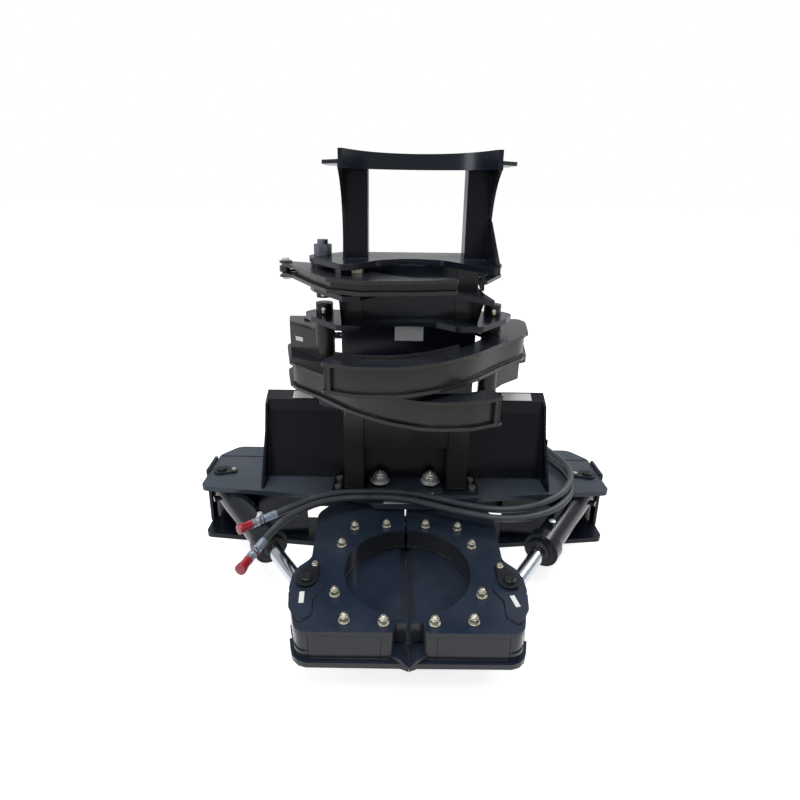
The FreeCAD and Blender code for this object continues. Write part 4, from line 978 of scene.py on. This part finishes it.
ring = pin_ring(0.019)
for side, which in SIDES:
    head = joined(which + "_jaw_pin_head", [copied(ring, (side * 0.318, -0.662, 0.2313))])
    dressed(head, PIN_PAINT, which + "_jaw")
base_heads = [copied(ring, (side * 0.772, -0.045, 0.2543)) for side, which in SIDES]
dressed(joined("base_pin_heads", base_heads), PIN_PAINT, "frame")
bpy.data.objects.remove(ring)
print("pivots and pins dressed")


# %% [markdown]
# ## Cylinders
# A cylinder's barrel is welded between its eye and its collar. Where the rod comes out there is a screwed
# gland with a rubber wiper. Zinc plated fittings stand in the oil ports. All five cylinders have the same
# parts in other sizes, so the parts are turned on the Z axis and aimed along each cylinder's own line.

# %% Gland, wiper and fittings
def gland(at, along, outer, rod):
    ring = turned("gland", [(0.0, outer * 0.80), (0.0022, outer * 0.80), (0.0030, outer * 0.76),
                            (0.0030, rod + 0.006)])
    return aimed(ring, at, along)


def wiper(at, along, rod):
    lip = turned("wiper", [(0.0, rod + 0.0058), (0.0042, rod + 0.0050), (0.0066, rod + 0.0016),
                           (0.0070, rod + 0.0002)])
    return aimed(lip, at, along)


def adapter(at, way):
    grip = turned("grip", [(0.0, 0.0128), (0.0012, 0.0140), (0.0090, 0.0140), (0.0102, 0.0128)], 6)
    neck = turned("neck", [(0.0098, 0.0088), (0.0150, 0.0088), (0.0158, 0.0100), (0.0195, 0.0100),
                           (0.0205, 0.0090)], 24)
    return aimed(joined("adapter", [grip, neck]), at, way)


def plug(at, way):
    head = turned("plug", [(0.0, 0.0120), (0.0010, 0.0128), (0.0032, 0.0128), (0.0038, 0.0118)], 6)
    return aimed(head, at, way)


# %% Dress one cylinder
JAW_CYLINDER = {"collar": 0.062, "barrel": 0.0500, "rod": 0.025, "neck_at": 0.0455, "collar_at": 0.449,
                "gland_at": 0.495, "port": 0.069}
GRAPPLE_CYLINDER = {"collar": 0.0375, "barrel": 0.0375, "rod": 0.018, "neck_at": 0.0430, "collar_at": 0.292,
                    "gland_at": 0.322, "port": 0.0505}
UPPER_CYLINDER = {"collar": 0.0270, "barrel": 0.0270, "rod": 0.011, "neck_at": 0.0650, "collar_at": 0.614,
                  "gland_at": 0.640, "port": 0.038}
UP = Vector((0, 0, 1))


def forward(along):
    """The level direction square to a cylinder that looks to the front of the tool."""
    square = Vector((-along.y, along.x, 0.0))
    return -square if square.y > 0 else square


def dress_cylinder(body, base, pin, height, sizes, fittings, way=None):
    """Base and pin are the two ends in plan, in millimetres. A fitting has its shape and its place."""
    start = Vector((*base, height)) * MM
    along = (Vector((*pin, height)) * MM - start).normalized()
    way = way or forward(along)
    rings = [ring_bead(start + along * place, along, sizes["barrel"], 0.0026, 44)
             for place in (sizes["neck_at"], sizes["collar_at"])]
    dressed(joined(body + "_rings", rings), WELD_PAINT, body)
    mouth = start + along * sizes["gland_at"]
    ring = joined(body + "_gland", [gland(mouth, along, sizes["collar"], sizes["rod"])])
    dressed(ring, BARREL_PAINT, body)
    seal = joined(body + "_wiper", [wiper(mouth + along * 0.003, along, sizes["rod"])])
    dressed(seal, SEAL_RUBBER, body)
    made = [shape(start + along * place + way * sizes["port"], way) for shape, place in fittings]
    dressed(joined(body + "_fittings", made), PLAIN_ZINC, body)
    print("dressed", body)


# %% Dress the five cylinders
GRAPPLE_PLUGS = [(plug, 0.070), (plug, 0.270)]
dress_cylinder("left_jaw_barrel", (-772, -45), (-318, -662), 169, JAW_CYLINDER, [(adapter, 0.403)], UP)
dress_cylinder("right_jaw_barrel", (772, -45), (318, -662), 169, JAW_CYLINDER, [(plug, 0.403)], UP)
dress_cylinder("left_grapple_barrel", (120, 25), (-389.49, 27.21), 825, GRAPPLE_CYLINDER, GRAPPLE_PLUGS)
dress_cylinder("right_grapple_barrel", (-120, 25), (380.42, 32.44), 716, GRAPPLE_CYLINDER, GRAPPLE_PLUGS)
dress_cylinder("upper_barrel", (330, 10), (-463, -10), 1092, UPPER_CYLINDER, [(plug, 0.100), (plug, 0.600)])


# %% [markdown]
# ## Blank labels
# Plain plates stand where the real tool wears printed ones. Each is a thin cube with bevelled edges, turned
# so that its face lies on the steel.

# %% Labels
LABEL_THICK = 0.0006


def label(name, size, at, normal, up, body):
    bpy.ops.object.select_all(action="DESELECT")
    bpy.ops.mesh.primitive_cube_add(size=1.0)
    plate = bpy.context.object
    plate.name = name
    plate.scale = (size[0] * MM, size[1] * MM, LABEL_THICK)
    settled(plate)
    bpy.ops.object.mode_set(mode="EDIT")
    bpy.ops.mesh.select_all(action="SELECT")
    bpy.ops.mesh.bevel(offset=0.0002, segments=1, affect="EDGES")
    bpy.ops.object.mode_set(mode="OBJECT")
    out = Vector(normal).normalized()
    side = Vector(up).cross(out).normalized()
    turn = Matrix((side, out.cross(side), out)).transposed().to_4x4()
    plate.matrix_world = Matrix.Translation(Vector(at) * MM + out * LABEL_THICK / 2) @ turn
    return dressed(settled(plate), BLANK_WHITE, body)


label("mast_label", (102, 58), (1.5, -190.3, 894), (0, -1, 0), (0, 0, 1), "frame")
label("left_panel_label", (122, 40), (-405, 16.5, 568.5), (0, -23, 47), (0, 47, 23), "frame")
label("right_panel_label", (122, 40), (459, 16.5, 568.5), (0, -23, 47), (0, 47, 23), "frame")
label("deck_label", (132, 74), (-18, -236, 240), (0, 0, 1), (0, 1, 0), "frame")
label("lever_label", (46, 17), (-418.6, -45.6, 826), (-0.675, -0.7375, 0), (-0.06, 0, 1), "left_arm")
label("left_jaw_label", (15, 46), (-321, -735, 217), (0, 0, 1), (-0.1, 1, 0), "left_jaw")
label("right_jaw_label", (15, 46), (320, -741, 217), (0, 0, 1), (-0.22, 1, 0), "right_jaw")
print("labels placed")


# %% [markdown]
# ## Hose band and cap cords
# A flat band ties the hoses in front of the mast: a ring with a flat section, pressed into an oval round
# both of them. A thin cord keeps each dust cap with its hose. It hangs in a slack bow and is looped round
# the neck of the coupler.

# %% Flat band
def hose_band():
    bpy.ops.object.select_all(action="DESELECT")
    bpy.ops.curve.primitive_nurbs_circle_add(radius=1.0, location=(0, 0, 0))
    band = bpy.context.object
    band.name = "hose_band"
    band.data.bevel_depth = 0.0008
    band.data.extrude = 0.0048
    band.data.resolution_u = 8
    band.scale = (0.0178, 0.0392, 1.0)
    settled(band)
    place = Matrix.Translation(Vector((-140, -244.5, 259.5)) * MM)
    band.matrix_world = place @ Matrix.Rotation(math.pi / 2, 4, "Y")
    return settled(band)


band = dressed(hose_band(), BLACK_NYLON, "frame")
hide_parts("hose_tie")


# %% Cords of the dust caps
CORD_R = 1.5
LOOP_R = 17.4


def cap_cord(route, sag):
    tip, before = Vector(route[-1]), Vector(route[-2])
    along = (tip - before).normalized()
    side = along.cross(UP).normalized()
    low = UP * sag
    points = [tip + along * 113 + side * 16.4, tip + along * 111 + side * 26 - low * 0.5,
              tip + along * 96 + side * 33 - low, tip + along * 80 + side * 27 - low,
              tip + along * 69 + side * 19 - low * 0.5, tip + along * 66 - UP * LOOP_R,
              tip + along * 66 - side * LOOP_R, tip + along * 67 + UP * LOOP_R,
              tip + along * 67 + side * LOOP_R]
    return strand(points, CORD_R)


cords = joined("cap_cords", [cap_cord(UPPER_ROUTE, 14), cap_cord(LOWER_ROUTE, 20)])
dressed(cords, RED_VINYL, "frame")
print("band and cords placed")

# %% [markdown]
# ## Stage
# The floor and backdrop are white for the camera only, so they don't wash out the black paint. Reflections
# see a part of that white, because glossy black and chrome show mostly what is round them.

# %% White floor
FLOOR_IN_GLOSS = 0.9
FLOOR_WHITE = 0.80


def shown_share(tree_of, glossy):
    """How much of the white a ray sees: all of it for the camera, a part of it for reflections."""
    seen = tree_of.node("ShaderNodeLightPath", {}, {}, "Is Camera Ray")
    shiny = tree_of.node("ShaderNodeLightPath", {}, {}, "Is Glossy Ray")
    through_glass = tree_of.node("ShaderNodeLightPath", {}, {}, "Is Transmission Ray")
    return (seen + shiny * glossy + through_glass).clamped()


def stage_finish():
    stage = Finish("stage")
    share = shown_share(stage, FLOOR_IN_GLOSS)
    stage.set(Base_Color=(0.70, 0.70, 0.70, 1.0), Roughness=0.9)
    stage.set(Specular_IOR_Level=0.05, Emission_Strength=1.0)
    stage.feed("Emission Color", stage.blend(share * FLOOR_WHITE, (0.0, 0.0, 0.0), (1.0, 1.0, 1.0)))
    return stage.material


bpy.ops.object.select_all(action="DESELECT")
bpy.ops.mesh.primitive_plane_add(size=60.0, location=(0, 10, -0.0005))
floor = bpy.context.object
floor.name = "floor"
floor.data.materials.append(stage_finish())
print("floor laid")


# %% [markdown]
# ## Sky and lamps
# Big soft lamps stand in for the open sky. The one overhead draws the tops of the plates apart from their
# edges, the low one at the left lifts the fronts of arms and jaws, and the one behind draws a thin line on
# the edges at the right.

# %% Sky
class Sky(Finish):
    """The world's nodes, made with the same method as a finish."""
    def __init__(self, name):
        self.world = bpy.data.worlds.new(name)
        bpy.context.scene.world = self.world
        self.world.use_nodes = True
        self.tree = self.world.node_tree

    def background(self, colour, strength):
        return self.node("ShaderNodeBackground", {}, {"Color": (*colour, 1.0), "Strength": strength})


def set_world(strength, glossy):
    sky = Sky("sky")
    soft = sky.background((0.90, 0.94, 1.0), strength)
    white = sky.background((1.0, 1.0, 1.0), 1.0)
    mix = sky.node("ShaderNodeMixShader", {}, {0: shown_share(sky, glossy), 1: soft, 2: white})
    sky.tree.links.new(mix.socket, sky.tree.nodes["World Output"].inputs["Surface"])


set_world(0.30, 0.50)


# %% Lamps
def add_lamp(name, at, target, size, power, colour=(1.0, 1.0, 1.0)):
    bpy.ops.object.light_add(type="AREA", location=at)
    lamp = bpy.context.object
    lamp.name = name
    lamp.data.shape = "RECTANGLE"
    lamp.data.size, lamp.data.size_y = size
    lamp.data.energy = power
    lamp.data.color = colour
    lamp.rotation_euler = (Vector(target) - Vector(at)).to_track_quat("-Z", "Y").to_euler()


add_lamp("sky_panel", (-0.3, -0.6, 3.4), (0.0, -0.2, 0.5), (3.0, 2.2), 95)
add_lamp("side_panel", (-3.2, -1.6, 1.8), (0.0, -0.2, 0.6), (0.8, 1.6), 24, (0.88, 0.93, 1.0))
add_lamp("rim_panel", (2.6, 1.2, 2.6), (0.0, 0.0, 0.8), (1.2, 1.0), 36)
print("lamps placed")

# %% [markdown]
# ## Camera
# The photograph was taken from chest height, a little left of the middle and about two metres in front of
# the mast. The lens, tilt and roll below were fitted to the tool's known plate, and the shift keeps its
# place in the picture.

# %% Camera
CAMERA_AT = (-0.055, -2.011, 1.390)
CAMERA_DOWN = 18.5
CAMERA_ROLL = 0.70
PHOTO_SIDE = 800.0
FOCAL_PIXELS = 526.5
CENTRE_PIXEL = (392.9, 362.8)
SENSOR_WIDTH = 36.0

camera_data = bpy.data.cameras.new("camera")
camera = bpy.data.objects.new("camera", camera_data)
bpy.context.scene.collection.objects.link(camera)
camera_data.sensor_width = SENSOR_WIDTH
camera_data.lens = SENSOR_WIDTH * FOCAL_PIXELS / PHOTO_SIDE
camera_data.shift_x = (PHOTO_SIDE / 2 - CENTRE_PIXEL[0]) / PHOTO_SIDE
camera_data.shift_y = (CENTRE_PIXEL[1] - PHOTO_SIDE / 2) / PHOTO_SIDE
tilt = Matrix.Rotation(math.radians(90.0 - CAMERA_DOWN), 4, "X")
roll = Matrix.Rotation(math.radians(CAMERA_ROLL), 4, "Z")
camera.matrix_world = Matrix.Translation(Vector(CAMERA_AT)) @ tilt @ roll
bpy.context.scene.camera = camera
bpy.context.scene.view_settings.view_transform = "Standard"
print("lens:", round(camera_data.lens, 1), "mm")
